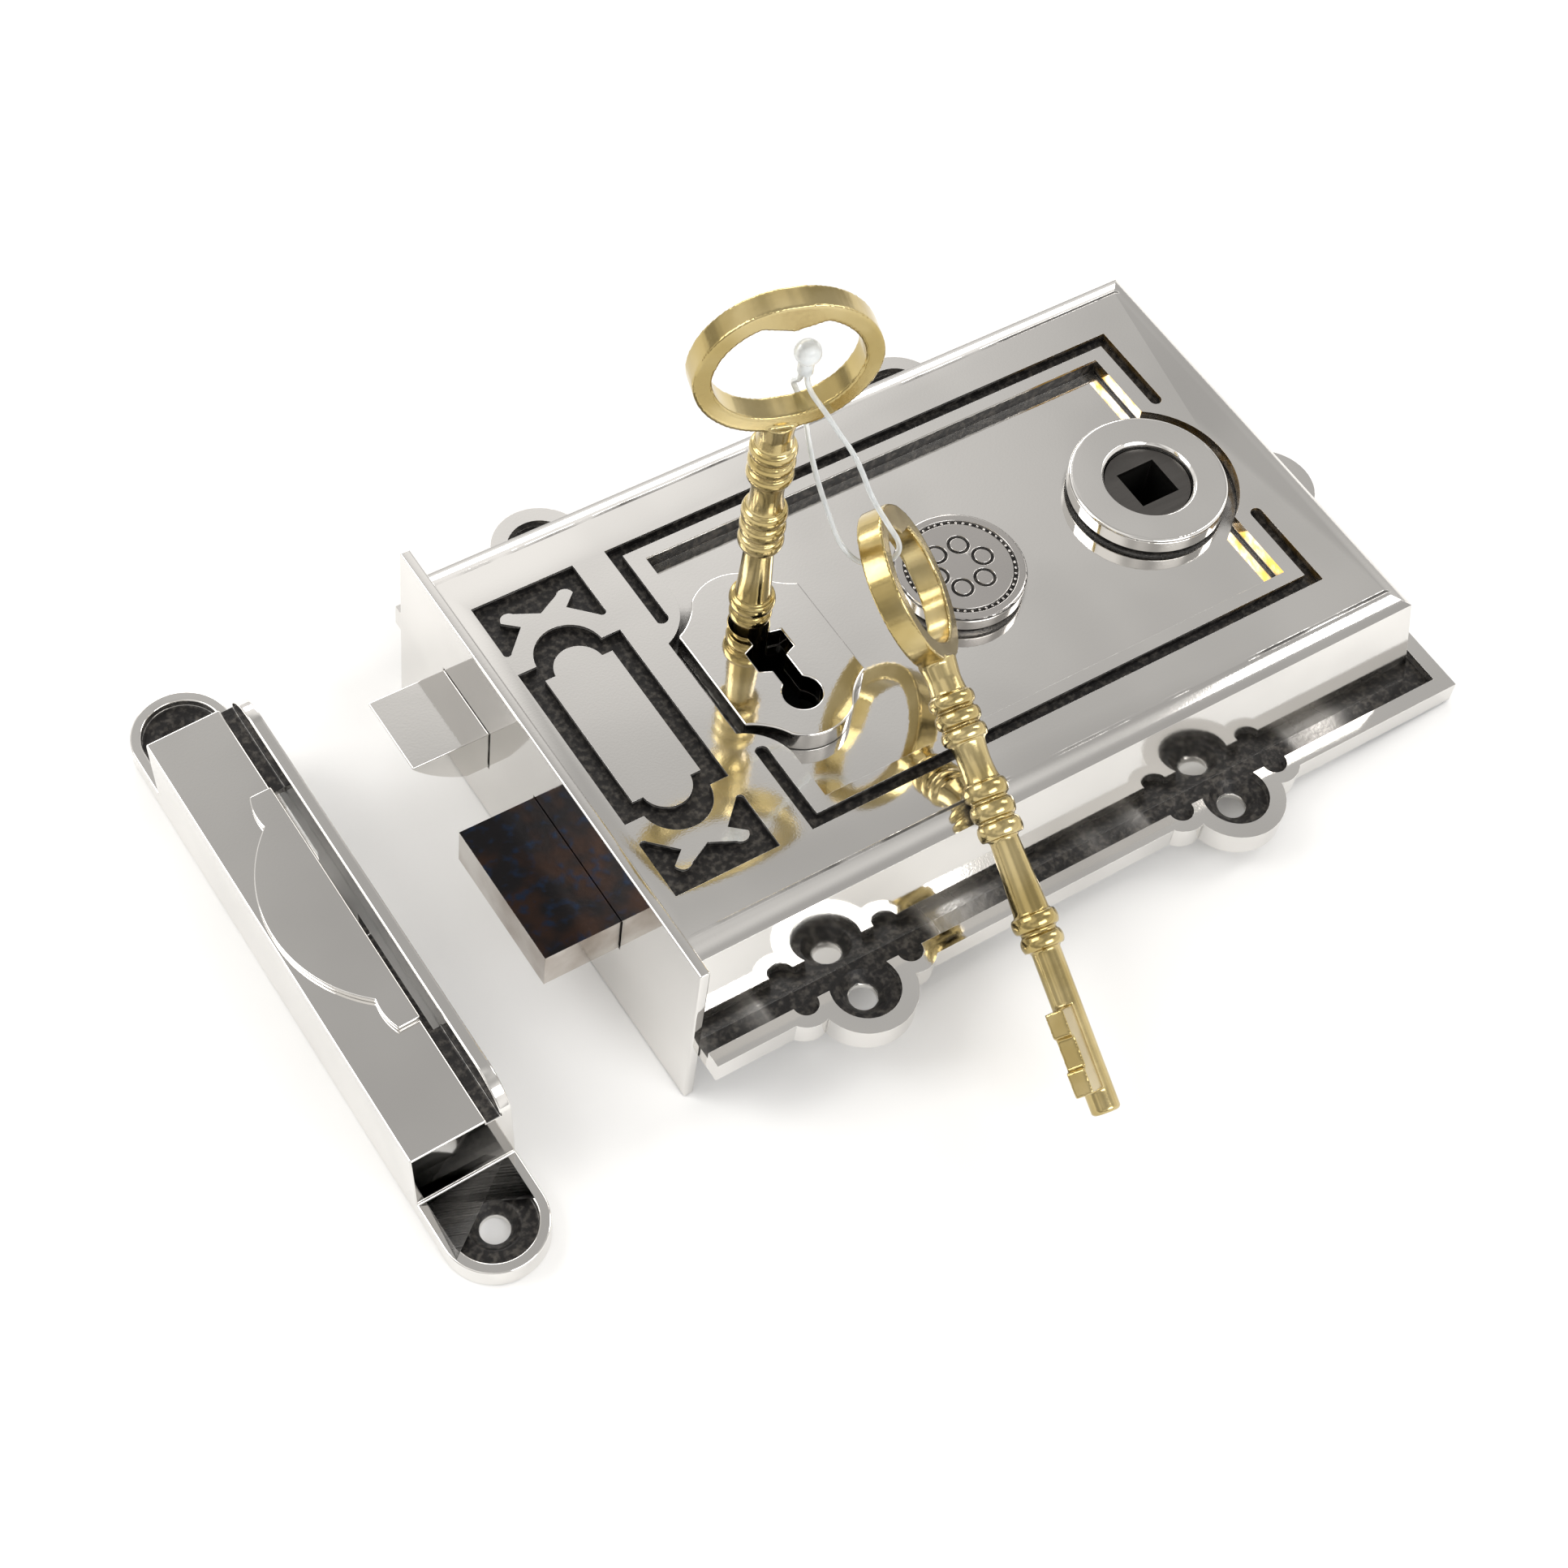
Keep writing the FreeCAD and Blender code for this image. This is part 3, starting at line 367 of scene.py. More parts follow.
@dataclass(frozen=True)
class CaseNickel(Nickel):
    """Nickel of the case: black relief walls, quirk lines, patchy side channels, brass at its rear edges."""

    gilt_from: float = 42 * MM
    lug_x: float = 39 * MM
    quirk: float = 40.2 * MM

    def inner(self, shader: Shader) -> Wire:
        """One over the face's relief and zero over its margins.

        Args:
            shader: The material under construction.

        Returns:
            The mask.
        """
        across = shader.y.size().fade(38.6 * MM, 39.6 * MM, 1.0, 0.0)
        return across * shader.x.within(-66 * MM, 71 * MM, 0.5 * MM)

    def where(self, shader: Shader, level: float) -> Wire | float:
        """Face floors count only inside the margins."""
        return self.inner(shader) if level > 20 * MM else 1.0

    def further(self, shader: Shader, recess_dark: Wire, cast: Wire) -> Wire:
        """Blacken relief walls and quirk lines, and thin the black between the lugs.

        Args:
            shader: The material under construction.
            recess_dark: Black found so far.
            cast: Roughness of the casting.

        Returns:
            The corrected black.
        """
        height = shader.z + (cast - 0.5) * (0.4 * MM)
        steep = shader.up.fade(0.35, 0.75, 1.0, 0.0)
        walls = height.within(21.7 * MM, 24.4 * MM, 0.3 * MM) * steep * self.inner(shader)
        walls = walls * (1 - self.bared(shader))
        line = (shader.y.size() - self.quirk).size().fade(0.16 * MM, 0.36 * MM, 1.0, 0.0)
        wear_and_shade = shader.noise(60.0, 2.0, (1, 0.1, 1)).fade(0.35, 0.55)
        line = line * shader.z.fade(24.2 * MM, 24.6 * MM) * wear_and_shade
        low = shader.z.fade(9 * MM, 14 * MM, 1.0, 0.0)
        lug = (shader.x.size() - self.lug_x).size().fade(15 * MM, 20 * MM, 1.0, 0.0)
        patches = shader.noise(38.0, 2.0, (1.0, 0.2, 0.2)).fade(0.40, 0.62, 0.45, 1.0).at_least(lug)
        return (recess_dark * (1 - low + low * patches)).at_least(walls).at_least(line * 0.9)

    def gilding(self, shader: Shader, blots: Wire) -> Wire:
        """Brass on the rounded edges of the relief towards the rear.

        Args:
            shader: The material under construction.
            blots: Blots over the piece.

        Returns:
            Share of brass.
        """
        edge = shader.z.within(24.45 * MM, 24.95 * MM, 0.1 * MM) * shader.up.fade(0.90, 0.985, 1.0, 0.0)
        rear = shader.x.fade(self.gilt_from, self.gilt_from + 10 * MM)
        shown = (edge * rear * self.inner(shader)).at_least(self.bared(shader))
        return shown * blots.fade(0.35, 0.6, 0.35, 1.0)

    def bared(self, shader: Shader) -> Wire:
        """Rear walls of the relief that face forward, where the brass shows whole.

        Args:
            shader: The material under construction.

        Returns:
            The mask.
        """
        facing = shader.rearward.fade(-0.75, -0.35, 1.0, 0.0)
        rear = shader.x.fade(self.gilt_from + 8 * MM, self.gilt_from + 14 * MM)
        return facing * rear * shader.z.within(22.7 * MM, 24.95 * MM, 0.3 * MM) * self.inner(shader)


@dataclass(frozen=True)
class Blackened:
    """Oil-blackened top of a bolt with temper colours, bare polished sides, and painted shade in its hollows
    and where other parts come close.
    """

    name: str
    tone: Colour = (0.70, 0.67, 0.63)

    def build(self) -> bpy.types.Material:
        """Make the material.

        Returns:
            The finished material.
        """
        shader = Shader(self.name)
        patches = shader.noise(120.0, 3.0)
        flecks = shader.noise(420.0, 4.0)
        brown = shader.blend(patches.fade(0.42, 0.62), (0.010, 0.009, 0.010), (0.030, 0.015, 0.010))
        blue = shader.blend(flecks.fade(0.50, 0.72), brown, (0.009, 0.018, 0.040))
        top = shader.up.fade(0.5, 0.8)
        tarnish = shader.noise(60.0, 4.0).fade(0.40, 0.75)
        side = shader.blend(tarnish, self.tone, (0.36, 0.30, 0.25))
        # Sheltered spots take the blackened colour: painted shade in the bolt's hollows and where other parts
        # come close.
        wear_and_shade = shader.shelter(2.5 * MM, False).fade(0.35, 0.7)
        shade = (top + wear_and_shade).at_most(1.0)
        shader.set(Base_Color=shader.blend(shade, side, blue), Metallic=1.0 - shade * 0.25,
                   Roughness=flecks * 0.06 + 0.06 + shade * 0.12)
        shader.bump(flecks, 0.05 * MM, 0.4)
        return shader.material


@dataclass(frozen=True)
class Brass:
    """Cast brass, polished on the high spots and darker in the grooves."""

    name: str
    tone: Colour = (0.44, 0.34, 0.14)
    pale: Colour = (0.60, 0.49, 0.25)
    recess_dark: Colour = (0.085, 0.052, 0.018)
    polish: float = 0.15
    rough_bump: float = 0.035

    def build(self) -> bpy.types.Material:
        """Make the material.

        Returns:
            The finished material.
        """
        shader = Shader(self.name)
        clouds = shader.noise(90.0, 3.0)
        pits = shader.noise(1300.0, 5.0)
        streaks = shader.noise(500.0, 3.0)
        # Darker in the grooves, as far as the occlusion reaches, broken up by streaks.
        hollow = shader.shelter(1.8 * MM)
        groove_dark = (hollow + (streaks - 0.5) * 0.35).fade(0.24, 0.52)
        metal = shader.blend(clouds.fade(0.35, 0.68), self.tone, self.pale)
        shader.set(Base_Color=shader.blend(groove_dark * 0.85, metal, self.recess_dark), Metallic=1.0 - groove_dark * 0.35,
                   Roughness=pits * 0.10 + self.polish - 0.05 + groove_dark * 0.30 + clouds * 0.06)
        shader.bump(pits * (groove_dark + 0.25) + streaks * 0.5, 0.22 * MM, self.rough_bump * 3)
        return shader.material


@dataclass(frozen=True)
class Steel:
    """Oiled mill steel with a rolled grain."""

    name: str
    tone: Colour = (0.42, 0.42, 0.43)
    stretch: tuple[float, float, float] = (0.05, 1.0, 1.0)

    def build(self) -> bpy.types.Material:
        """Make the material.

        Returns:
            The finished material.
        """
        shader = Shader(self.name)
        grain = shader.noise(1800.0, 3.0, self.stretch)
        stains = shader.noise(45.0, 4.0)
        # Darker in its hollows, with painted shade where other parts come close.
        hollow = shader.shelter(2.0 * MM, False).fade(0.3, 0.8)
        stained = shader.blend(stains.fade(0.5, 0.75), self.tone, tuple(c * 0.62 for c in self.tone))
        shader.set(Base_Color=shader.blend(hollow, stained, (0.05, 0.045, 0.04)), Metallic=1.0 - hollow * 0.4,
                   Roughness=grain * 0.22 + 0.24 + stains * 0.1)
        shader.bump(grain, 0.03 * MM, 0.5)
        return shader.material


@dataclass(frozen=True)
class Nylon:
    """Clear nylon with a milky core."""

    name: str
    tone: Colour = (0.93, 0.95, 0.95)

    def build(self) -> bpy.types.Material:
        """Make the material.

        Returns:
            The finished material.
        """
        shader = Shader(self.name)
        cloud = shader.noise(700.0, 3.0)
        shader.set(Base_Color=shader.blend(cloud.fade(0.3, 0.7), self.tone, (0.84, 0.87, 0.88)),
                   Roughness=cloud * 0.15 + 0.12, IOR=1.5, Transmission_Weight=0.55)
        shader.bump(cloud, 0.05 * MM, 0.3)
        return shader.material


class Shades:
    """Every finish of the lock, built once."""

    def __init__(self) -> None:
        """Build the materials."""
        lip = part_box("forend_plate")[0]
        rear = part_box("case_casting")[1]
        # With local off, parts close by darken the case, plate, rose and bolt finishes: painted shade where
        # parts meet.
        self.case = CaseNickel("case_nickel", floors=(FACE_FLOOR, FLANGE_FLOOR), local=False).build()
        self.plate = Nickel("plate_nickel", local=False, reach=1.6 * MM, shallow=0.5, deep=0.8).build()
        self.keep = Nickel("keep_nickel", reach=3.0 * MM, shallow=0.34, deep=0.56,
                           floors=(KEEP_LUG_FLOOR, KEEP_TOP_FLOOR), lean=lip.z / (lip.x - rear.x),
                           lean_from=(lip.x, lip.z)).build()
        self.badge = Nickel("badge_nickel", reach=0.9 * MM, shallow=0.30, deep=0.5, polish=0.14,
                            tone=(0.56, 0.54, 0.52), floors=(BADGE_FLOOR,)).build()
        self.rose = Nickel("rose_nickel", reach=1.6 * MM, shallow=0.42, deep=0.62, local=False).build()
        self.bolt = Nickel("bolt_nickel", reach=1.5 * MM, shallow=0.5, deep=0.8, local=False).build()
        self.blackened = Blackened("blackened_bolt").build()
        self.brass = Brass("key_brass").build()
        self.lever = Brass("lever_brass", tone=(0.52, 0.38, 0.17), polish=0.28).build()
        self.steel = Steel("mill_steel").build()
        self.dark_steel = Steel("dark_steel", tone=(0.10, 0.095, 0.09)).build()
        self.nylon = Nylon("clear_nylon").build()


# ------------------------------------------------------------------------------------ mesh tools


def cad_mesh(node: str) -> bmesh.types.BMesh:
    """Copy of a CAD node's mesh with its loose triangles merged and its flat faces whole.

    Args:
        node: The CAD node.

    Returns:
        A working mesh.
    """
    form = bmesh.new()
    form.from_mesh(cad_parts[node].data)
    bmesh.ops.remove_doubles(form, verts=form.verts, dist=WELD)
    bmesh.ops.dissolve_limit(form, angle_limit=math.radians(FLAT_ANGLE), use_dissolve_boundaries=False,
                             verts=form.verts, edges=form.edges, delimit=set())
    return form


def sharp_edges(form: bmesh.types.BMesh, angle: float) -> list[bmesh.types.BMEdge]:
    """Edges whose two faces meet at more than an angle, in degrees.

    Args:
        form: The working mesh.
        angle: The angle.

    Returns:
        The edges.
    """
    limit = math.radians(angle)
    return [edge for edge in form.edges if len(edge.link_faces) == 2
            and edge.calc_face_angle(0.0) > limit]


def round_edges(form: bmesh.types.BMesh, edges: list[bmesh.types.BMEdge], width: float,
                segments: int) -> None:
    """Round edges over by a width, in as many steps as segments.

    Args:
        form: The working mesh.
        edges: The edges.
        width: How far the rounding reaches from the edge.
        segments: Steps of the rounding.
    """
    bmesh.ops.bevel(form, geom=edges, offset=width, offset_type="OFFSET", segments=segments,
                    profile=0.5, affect="EDGES", clamp_overlap=True)


def piece(name: str, form: bmesh.types.BMesh, material: bpy.types.Material,
          weighted: bool = True) -> bpy.types.Object:
    """Turn a working mesh into a finished object.

    Args:
        name: The piece's name.
        form: The working mesh, which is freed.
        material: Its finish.
        weighted: Whether big faces stay flat to the eye.

    Returns:
        The object, at the origin.
    """
    data = bpy.data.meshes.new(name)
    form.to_mesh(data)
    form.free()
    data.materials.append(material)
    for face in data.polygons:
        face.use_smooth = True
    made = bpy.data.objects.new(name, data)
    bpy.context.scene.collection.objects.link(made)
    if weighted:
        normals = made.modifiers.new("flats", "WEIGHTED_NORMAL")
        normals.keep_sharp = False
        normals.weight = 100
    return made


def stands_for(made: bpy.types.Object, node: str, body: Body) -> None:
    """Let a piece ride on a body in place of a CAD node.

    Args:
        made: The piece.
        node: The CAD node that it replaces.
        body: The body that it rides on.
    """
    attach(made, body.value)
    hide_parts(node)
    LOG.info("%s: %d faces in place of %s", made.name, len(made.data.polygons), node)


def polished(node: str, material: bpy.types.Material, width: float, segments: int = 3,
             angle: float = SHARP_ANGLE) -> bpy.types.Object:
    """A CAD node's shape with its edges rounded by polishing.

    Args:
        node: The CAD node.
        material: Its finish.
        width: How far the rounding reaches.
        segments: Steps of the rounding.
        angle: Angle over which an edge is rounded, in degrees.

    Returns:
        The piece.
    """
    form = cad_mesh(node)
    round_edges(form, sharp_edges(form, angle), width, segments)
    return piece("polished_" + node, form, material)


def soft_cast(node: str, material: bpy.types.Material, grain: float, passes: int) -> bpy.types.Object:
    """A CAD node's shape as a soft casting: remeshed, then smoothed.

    Args:
        node: The CAD node.
        material: Its finish.
        grain: Size of the remesh's cells.
        passes: Rounds of smoothing.

    Returns:
        The piece.
    """
    form = cad_mesh(node)
    made = piece("cast_" + node, form, material, weighted=False)
    remesh = made.modifiers.new("remesh", "REMESH")
    remesh.mode = "VOXEL"
    remesh.voxel_size = grain
    remesh.use_smooth_shade = True
    smooth = made.modifiers.new("smooth", "SMOOTH")
    smooth.factor = 0.5
    smooth.iterations = passes
    settle(made)
    return made


def settle(made: bpy.types.Object) -> None:
    """Replace an object's mesh with what its modifiers make of it.

    Args:
        made: The object.
    """
    bpy.context.view_layer.update()
    graph = bpy.context.evaluated_depsgraph_get()
    final = bpy.data.meshes.new_from_object(made.evaluated_get(graph), depsgraph=graph)
    made.modifiers.clear()
    made.data = final


# --------------------------------------------------------------------------------- geometry nodes


class Pattern:
    """A Geometry Nodes tree under construction, with named sizes."""

    def __init__(self, name: str, sizes: dict[str, float]) -> None:
        """Start a tree whose inputs are the named sizes.

        Args:
            name: The tree's name.
            sizes: Values by name.
        """
        self.tree = bpy.data.node_groups.new(name, "GeometryNodeTree")
        self.tree.interface.new_socket(name="Geometry", in_out="INPUT", socket_type="NodeSocketGeometry")
        self.values = {}
        for key, value in sizes.items():
            socket = self.tree.interface.new_socket(name=key, in_out="INPUT", socket_type="NodeSocketFloat")
            self.values[socket.identifier] = value
        self.tree.interface.new_socket(name="Geometry", in_out="OUTPUT", socket_type="NodeSocketGeometry")
        self.inputs = self.tree.nodes.new("NodeGroupInput")
        self.end = self.tree.nodes.new("NodeGroupOutput")

    def size(self, name: str) -> bpy.types.NodeSocket:
        """Socket of a named size."""
        return self.inputs.outputs[name]

    def node(self, kind: str, settings: dict[str, Any], sockets: dict[Any, Any]) -> bpy.types.Node:
        """Add a node with its settings and its sockets' values or links.

        Args:
            kind: Blender's node type.
            settings: The node's own properties.
            sockets: Values or sockets for its inputs, by name or index.

        Returns:
            The node.
        """
        made = self.tree.nodes.new(kind)
        for key, value in settings.items():
            setattr(made, key, value)
        for key, value in sockets.items():
            if isinstance(value, bpy.types.NodeSocket):
                self.tree.links.new(value, made.inputs[key])
            else:
                made.inputs[key].default_value = value
        return made

    def finish(self, geometry: bpy.types.NodeSocket, material: bpy.types.Material) -> None:
        """Realize, set the material and send the result out.

        Args:
            geometry: What the tree made.
            material: Its finish.
        """
        real = self.node("GeometryNodeRealizeInstances", {}, {"Geometry": geometry})
        dressed = self.node("GeometryNodeSetMaterial", {}, {"Geometry": real.outputs[0], "Material": material})
        self.tree.links.new(dressed.outputs[0], self.end.inputs[0])

    def grow(self, name: str) -> bmesh.types.BMesh:
        """Evaluate the tree.

        Args:
            name: Name of the short-lived object that carries the tree.

        Returns:
            The realized mesh as a working mesh.
        """
        carrier = bpy.data.objects.new(name, bpy.data.meshes.new(name))
        bpy.context.scene.collection.objects.link(carrier)
        modifier = carrier.modifiers.new("pattern", "NODES")
        modifier.node_group = self.tree
        for identifier, value in self.values.items():
            modifier[identifier] = value
        bpy.context.view_layer.update()
        graph = bpy.context.evaluated_depsgraph_get()
        data = bpy.data.meshes.new_from_object(carrier.evaluated_get(graph), depsgraph=graph)
        form = bmesh.new()
        form.from_mesh(data)
        bpy.data.objects.remove(carrier)
        return form


# ------------------------------------------------------------------------------------- the pieces


@dataclass
class CaseWork:
    """Case casting, forend, rose, badge, escutcheon and the sheet cap behind."""

    shades: Shades
    polish_width: float = 0.32 * MM
    bead_width: float = 0.95 * MM
    flange_top: float = 4.6 * MM
    bead_ring: float = 9.7 * MM
    bead_round: float = 0.30 * MM
    bead_count: int = 48
    badge_top: float = 25.9 * MM
    bead_sink: float = 0.34 * MM

    def build(self) -> None:
        """Make every piece of the case."""
        self.build_case()
        self.build_plates()
        self.build_badge()
        self.build_back()

    def build_case(self) -> None:
        """The cover casting, its flange bead rounded more than its relief."""
        form = cad_mesh("case_casting")
        level = self.flange_top
        beads = [edge for edge in sharp_edges(form, SHARP_ANGLE)
                 if all(abs(vert.co.z - level) < 0.02 * MM for vert in edge.verts)]
        round_edges(form, beads, self.bead_width, 4)
        rest = [edge for edge in sharp_edges(form, SHARP_ANGLE)
                if not all(level - 1.2 * MM < vert.co.z < level + 0.1 * MM for vert in edge.verts)]
        round_edges(form, rest, self.polish_width, 2)
        made = piece("case_cover", form, self.shades.case)
        stands_for(made, "case_casting", Body.CASE)

    def build_plates(self) -> None:
        """Forend plate, rose and key escutcheon."""
        jobs = (("forend_plate", self.shades.plate, 0.35 * MM), ("spindle_rose", self.shades.rose, 0.25 * MM),
                ("key_escutcheon", self.shades.plate, 0.5 * MM))
        for node, material, width in jobs:
            stands_for(polished(node, material, width), node, Body.CASE)

    def build_badge(self) -> None:
        """Badge button and the ring of beads on it."""
        stands_for(polished("badge_button", self.shades.badge, 0.15 * MM, 2), "badge_button", Body.CASE)
        low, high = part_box("badge_button")
        pattern = Pattern("bead_ring", {"ring": self.bead_ring, "bead": self.bead_round,
                                        "x": (low.x + high.x) / 2, "height": self.badge_top - self.bead_sink})
        ring = pattern.node("GeometryNodeMeshCircle", {}, {"Vertices": self.bead_count,
                                                            "Radius": pattern.size("ring")})
        ball = pattern.node("GeometryNodeMeshIcoSphere", {}, {"Radius": pattern.size("bead"),
                                                               "Subdivisions": 2})
        row = pattern.node("GeometryNodeInstanceOnPoints", {}, {"Points": ring.outputs["Mesh"],
                                                                 "Instance": ball.outputs["Mesh"]})
        spot = pattern.node("ShaderNodeCombineXYZ", {}, {"X": pattern.size("x"), "Z": pattern.size("height")})
        moved = pattern.node("GeometryNodeTransform", {}, {"Geometry": row.outputs[0],
                                                            "Translation": spot.outputs[0]})
        pattern.finish(moved.outputs[0], self.shades.badge)
        beads = piece("badge_beads", pattern.grow("bead_carrier"), self.shades.badge, weighted=False)
        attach(beads, Body.CASE.value)

    def build_back(self) -> None:
        """Sheet cap, its screws and the plain posts, pins and flat spring inside."""
        for node in ("back_cap", "cap_screws", "bolt_guide_stud", "lever_pivot_pin", "lever_spring",
                     "spring_stop"):
            dress(node, self.shades.steel)


def dress(node: str, material: bpy.types.Material) -> None:
    """Give a CAD node, whose shape is right, its finish.

    Args:
        node: The CAD node.
        material: Its finish.
    """
    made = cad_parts[node]
    made.data.materials.clear()
    made.data.materials.append(material)
    LOG.info("%s: keeps its own shape", node)


@dataclass
class BoltWork:
    """Latch, deadbolt, follower, lever and springs."""

    shades: Shades
    wire: float = 0.7 * MM
    turns: float = 9.0
    keep: float = 0.70

    def build(self) -> None:
        """Make the moving works."""
        stands_for(polished("latch_bolt", self.shades.bolt, 0.3 * MM), "latch_bolt", Body.LATCH)
        stands_for(polished("dead_bolt", self.shades.blackened, 0.3 * MM), "dead_bolt", Body.DEADBOLT)
        dress("bolt_stump", self.shades.steel)
        dress("follower", self.shades.dark_steel)
        dress("lever_tumbler", self.shades.lever)
        self.build_coil()

    def build_coil(self) -> None:
        """Latch return spring, a coil in place of the CAD spring."""
        low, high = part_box("latch_spring")
        middle = (low + high) / 2
        mean = (high.y - low.y) / 2 - self.wire / 2
        pattern = Pattern("coil", {"turns": self.turns, "mean": mean, "wire": self.wire / 2,
                                   "length": high.x - low.x - self.wire})
        sockets = {"Resolution": 24, "Rotations": pattern.size("turns"), "Start Radius": pattern.size("mean"),
                   "End Radius": pattern.size("mean"), "Height": pattern.size("length")}
        line = pattern.node("GeometryNodeCurveSpiral", {}, sockets)
        section = pattern.node("GeometryNodeCurvePrimitiveCircle", {}, {"Resolution": 10,
                                                                       "Radius": pattern.size("wire")})
        tube = pattern.node("GeometryNodeCurveToMesh", {}, {"Curve": line.outputs[0], "Fill Caps": True,
                                                             "Profile Curve": section.outputs[0]})
        place = (low.x + self.wire / 2, middle.y, middle.z)
        laid = pattern.node("GeometryNodeTransform", {}, {"Geometry": tube.outputs[0], "Translation": place,
                                                           "Rotation": (0.0, math.pi / 2, 0.0)})
        pattern.finish(laid.outputs[0], self.shades.steel)
        made = piece("spring_coil", pattern.grow("coil_carrier"), self.shades.steel, weighted=False)
        stands_for(made, "latch_spring", Body.CASE)
        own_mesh(made)


@dataclass
class KeyRing:
    """Both keys and the nylon loop that ties them."""

    shades: Shades
    loop_width: float = 0.9 * MM
    route: tuple[tuple[float, float, float], ...] = (
        (-22.7, 5.4, 88.2), (-22.7, 5.4, 85.6), (-21.0, 1.4, 82.2), (-18.6, 0.4, 77.2), (-15.9, -0.3, 72.2),
        (-13.9, -1.4, 66.8), (-13.1, -3.2, 62.9), (-13.0, -7.9, 61.3), (-11.0, -10.5, 56.9),
        (-12.0, -9.5, 52.3), (-16.3, -7.2, 51.7), (-18.7, -4.2, 54.9), (-18.0, 0.5, 57.2), (-18.3, 4.1, 61.6),
        (-18.6, 6.9, 66.7), (-18.5, 9.4, 72.0), (-19.8, 10.6, 77.4), (-21.9, 10.1, 82.2), (-22.7, 6.8, 85.6),
        (-22.7, 6.8, 88.2))

    def build(self) -> None:
        """Make the keys, the loop and its socket."""
        for node, body in (("key_turning", Body.KEY), ("key_spare", Body.CASE)):
            made = soft_cast(node, self.shades.brass, 0.24 * MM, 4)
            stands_for(made, node, body)
        socket = self.build_socket()
        self.build_loop()

    def build_socket(self) -> bpy.types.Object:
        """Ball-shaped socket that closes the loop.

        Returns:
            The socket.
        """
        made = soft_cast("tag_socket", self.shades.nylon, 0.22 * MM, 3)
        stands_for(made, "tag_socket", Body.KEY)
        return made

    def build_loop(self) -> None:
        """Nylon strand through both bows, closed by its socket.
        """
        line = bpy.data.curves.new("loop_line", "CURVE")
        line.dimensions = "3D"
        spline = line.splines.new("NURBS")
        spline.points.add(len(self.route) - 1)
        for point, place in zip(spline.points, self.route):
            point.co = (*(value * MM for value in place), 1.0)
        spline.order_u = 3
        spline.use_endpoint_u = True
        spline.resolution_u = 8
        carrier = bpy.data.objects.new("loop_line", line)
        bpy.context.scene.collection.objects.link(carrier)
        bpy.context.view_layer.update()
        graph = bpy.context.evaluated_depsgraph_get()
        thin = bpy.data.meshes.new_from_object(carrier.evaluated_get(graph), depsgraph=graph)
        line.bevel_depth = self.loop_width / 2
        line.bevel_resolution = 5
        line.use_fill_caps = True
        bpy.context.view_layer.update()
        graph = bpy.context.evaluated_depsgraph_get()
        tube = bpy.data.meshes.new_from_object(carrier.evaluated_get(graph), depsgraph=graph)
        bpy.data.objects.remove(carrier)
        tube.name = "nylon_loop"
        tube.materials.clear()
        tube.materials.append(self.shades.nylon)
        for face in tube.polygons:
            face.use_smooth = True
        made = bpy.data.objects.new("nylon_loop", tube)
        bpy.context.scene.collection.objects.link(made)
        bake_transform(made)
        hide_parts("tag_loop")


@dataclass
class KeepWork:
    """The keep and its wear plate."""

    shades: Shades

    def build(self) -> None:
        """Make both pieces of the keep."""
        for node, width in (("keep_casting", 0.35 * MM), ("keep_wear_plate", 0.25 * MM)):
            stands_for(polished(node, self.shades.keep, width), node, Body.CASE)


# ------------------------------------------------------------------------------------- the studio


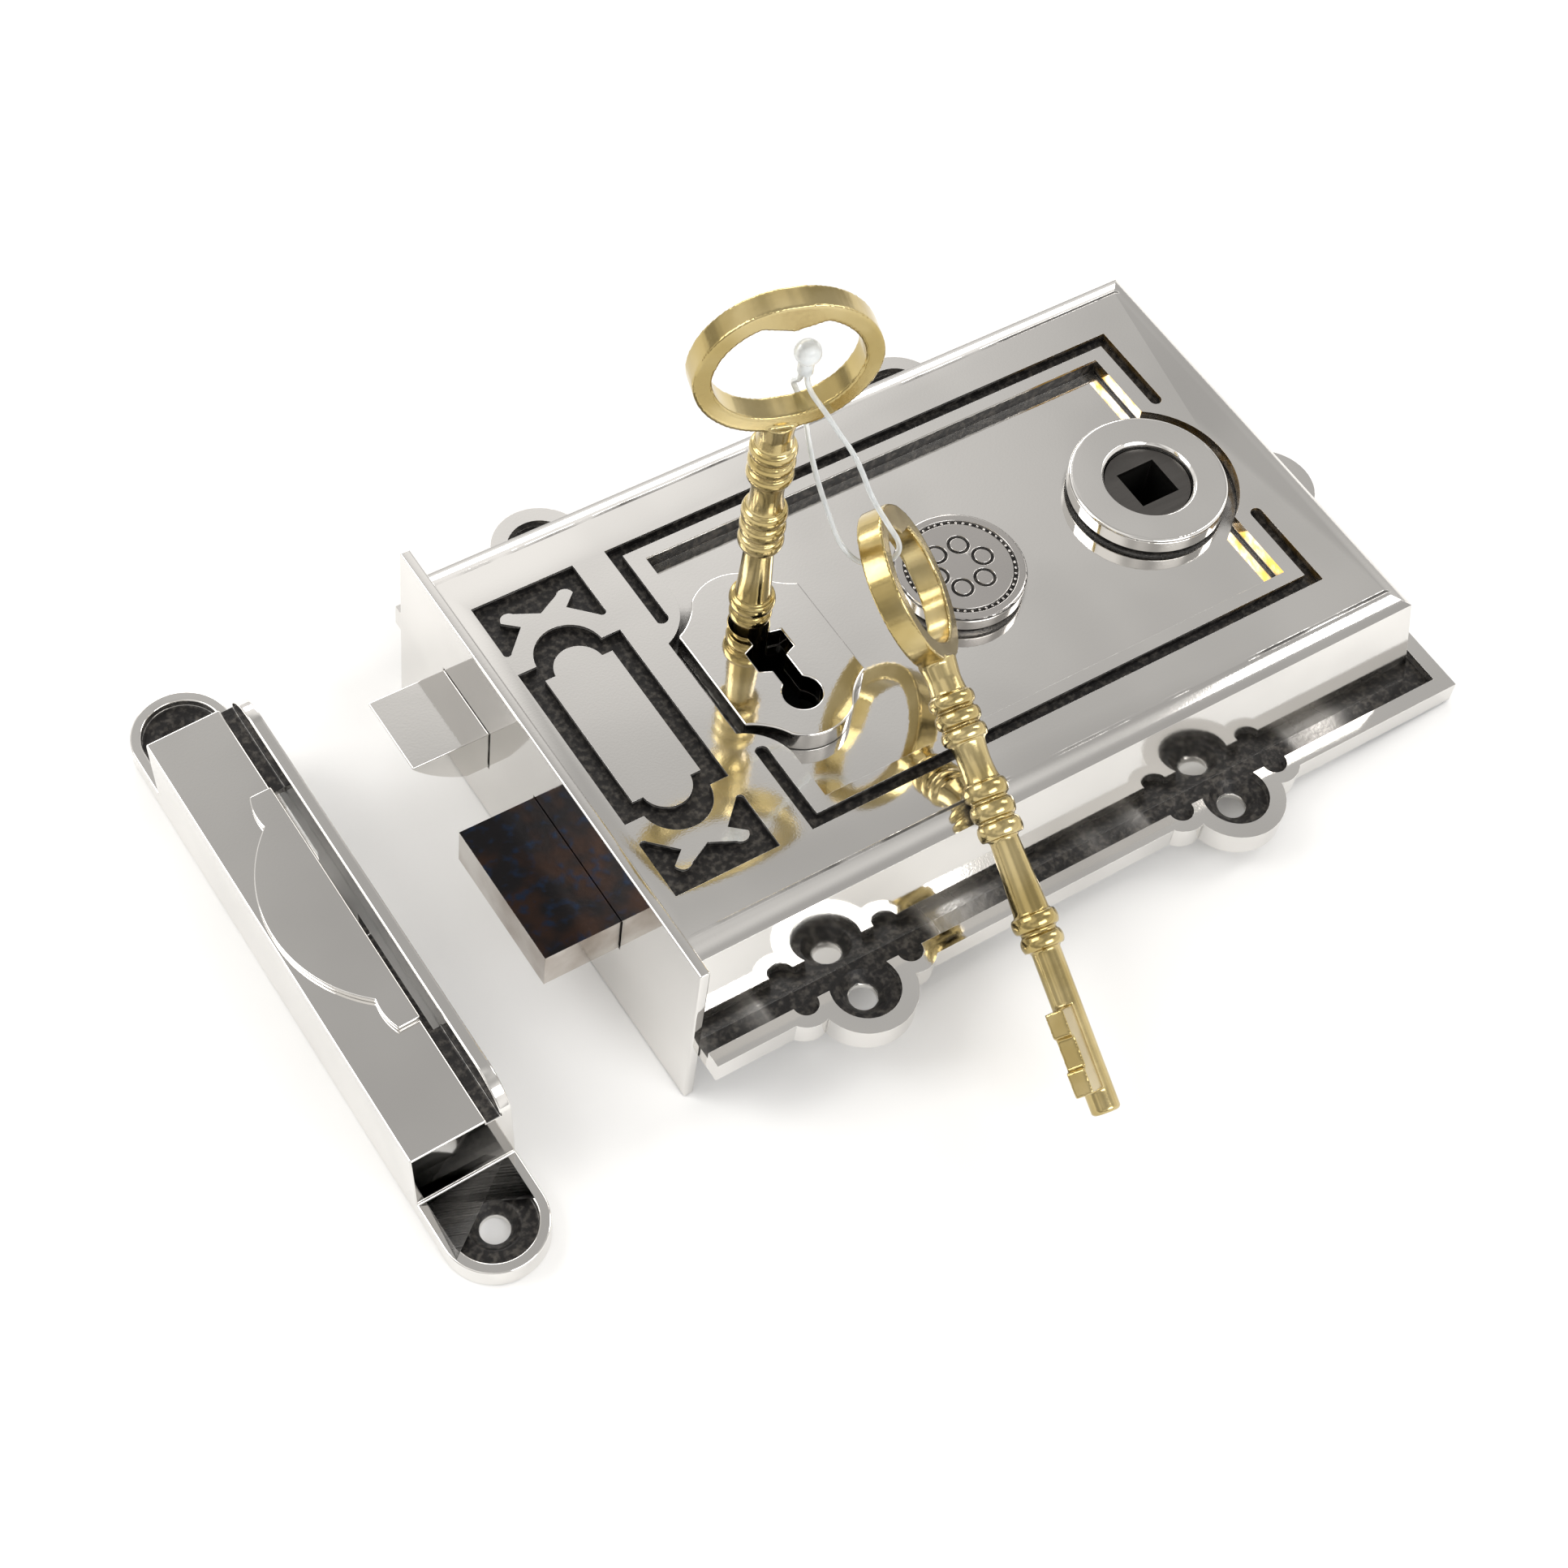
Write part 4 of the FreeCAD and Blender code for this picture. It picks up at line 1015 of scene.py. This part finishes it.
@dataclass
class Studio:
    """Floor, light and camera."""

    eye: tuple[float, float, float] = (-0.22603, -0.24011, 0.43561)
    right: tuple[float, float, float] = (0.835086, -0.541757, 0.095559)
    down: tuple[float, float, float] = (-0.402539, -0.720164, -0.565089)
    ahead: tuple[float, float, float] = (0.374959, 0.433431, -0.819477)
    lens: float = 70.462
    sensor: float = 36.0
    floor_gap: float = 0.05 * MM
    floor_half: float = 4.0
    cloud_scale: float = 1.7
    cloud_detail: float = 1.0
    cloud_from: tuple[float, float] = (0.36, 0.62)
    cloud_to: tuple[float, float] = (0.50, 1.10)
    surround: tuple[float, float, float, float] = (0.97, 0.95, 0.925, 1)

    def build(self) -> None:
        """Set up the camera, the floor and the light."""
        self.build_camera()
        self.build_floor()
        self.build_light()
        bpy.context.scene.view_settings.view_transform = "Standard"

    def build_camera(self) -> None:
        """Camera above the forend corner."""
        data = bpy.data.cameras.new("studio_camera")
        data.lens, data.sensor_width = self.lens, self.sensor
        data.clip_start, data.clip_end = 0.01, 20.0
        made = bpy.data.objects.new("studio_camera", data)
        turn = Matrix((self.right, tuple(-v for v in self.down), tuple(-v for v in self.ahead))).transposed()
        made.matrix_world = Matrix.Translation(self.eye) @ turn.to_4x4()
        bpy.context.scene.collection.objects.link(made)
        bpy.context.scene.camera = made

    def build_floor(self) -> None:
        """Pale floor under the forend's lip and the rear lug."""
        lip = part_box("forend_plate")[0]
        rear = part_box("case_casting")[1]
        tilt = math.atan2(-lip.z, rear.x - lip.x)
        form = bmesh.new()
        bmesh.ops.create_grid(form, x_segments=2, y_segments=2, size=self.floor_half)
        place = Matrix.Translation((lip.x, 0, lip.z - self.floor_gap)) @ Matrix.Rotation(-tilt, 4, "Y")
        bmesh.ops.transform(form, matrix=place, verts=form.verts)
        shader = Shader("pale_floor")
        shader.set(Base_Color=(0.93, 0.93, 0.925), Roughness=0.85)
        made = piece("floor", form, shader.material, weighted=False)

    def build_light(self) -> None:
        """Four soft panels and a softly clouded surround."""
        world = bpy.data.worlds.new("surround")
        world.use_nodes = True
        tree = world.node_tree
        background = tree.nodes["Background"]
        around = tree.nodes.new("ShaderNodeTexCoord")
        clouds = tree.nodes.new("ShaderNodeTexNoise")
        clouds.inputs["Scale"].default_value = self.cloud_scale
        clouds.inputs["Detail"].default_value = self.cloud_detail
        ramp = tree.nodes.new("ShaderNodeMapRange")
        ramp.interpolation_type = "SMOOTHSTEP"
        for key, value in zip(("From Min", "From Max", "To Min", "To Max"), self.cloud_from + self.cloud_to):
            ramp.inputs[key].default_value = value
        tree.links.new(around.outputs["Generated"], clouds.inputs["Vector"])
        tree.links.new(clouds.outputs["Fac"], ramp.inputs["Value"])
        tree.links.new(ramp.outputs["Result"], background.inputs["Strength"])
        background.inputs["Color"].default_value = self.surround
        bpy.context.scene.world = world
        self.panel("key_panel", (-0.95, 0.55, 0.95), (0.7, 0.9), 8.0, (1.0, 0.99, 0.97))
        self.panel("rear_panel", (0.35, 1.25, 0.55), (1.2, 0.35), 7.0, (1.0, 0.98, 0.95))
        self.panel("fill_panel", (0.15, -1.1, 0.85), (0.9, 0.45), 6.5, (0.98, 0.99, 1.0))
        self.panel("high_panel", (1.05, -0.1, 1.0), (0.35, 0.8), 4.0, (1.0, 0.97, 0.94))

    def panel(self, name: str, place: tuple[float, float, float], spread: tuple[float, float],
              power: float, colour: Colour) -> None:
        """A soft rectangular light aimed at the lock.

        Args:
            name: The light's name.
            place: Where it stands.
            spread: Its width and height.
            power: Its power in watts.
            colour: Its colour.
        """
        data = bpy.data.lights.new(name, "AREA")
        data.shape = "RECTANGLE"
        data.size, data.size_y = spread
        data.energy = power
        data.color = colour
        made = bpy.data.objects.new(name, data)
        made.location = place
        made.rotation_mode = "QUATERNION"
        made.rotation_quaternion = (-Vector(place)).to_track_quat("-Z", "Y")
        bpy.context.scene.collection.objects.link(made)


def main() -> None:
    """Build the studio and the lock."""
    logging.basicConfig(level=logging.INFO, format="%(name)s %(message)s")
    Studio().build()
    shades = Shades()
    for work in (CaseWork(shades), BoltWork(shades), KeyRing(shades), KeepWork(shades)):
        work.build()
    bpy.context.view_layer.update()


if __name__ == "__main__":
    main()
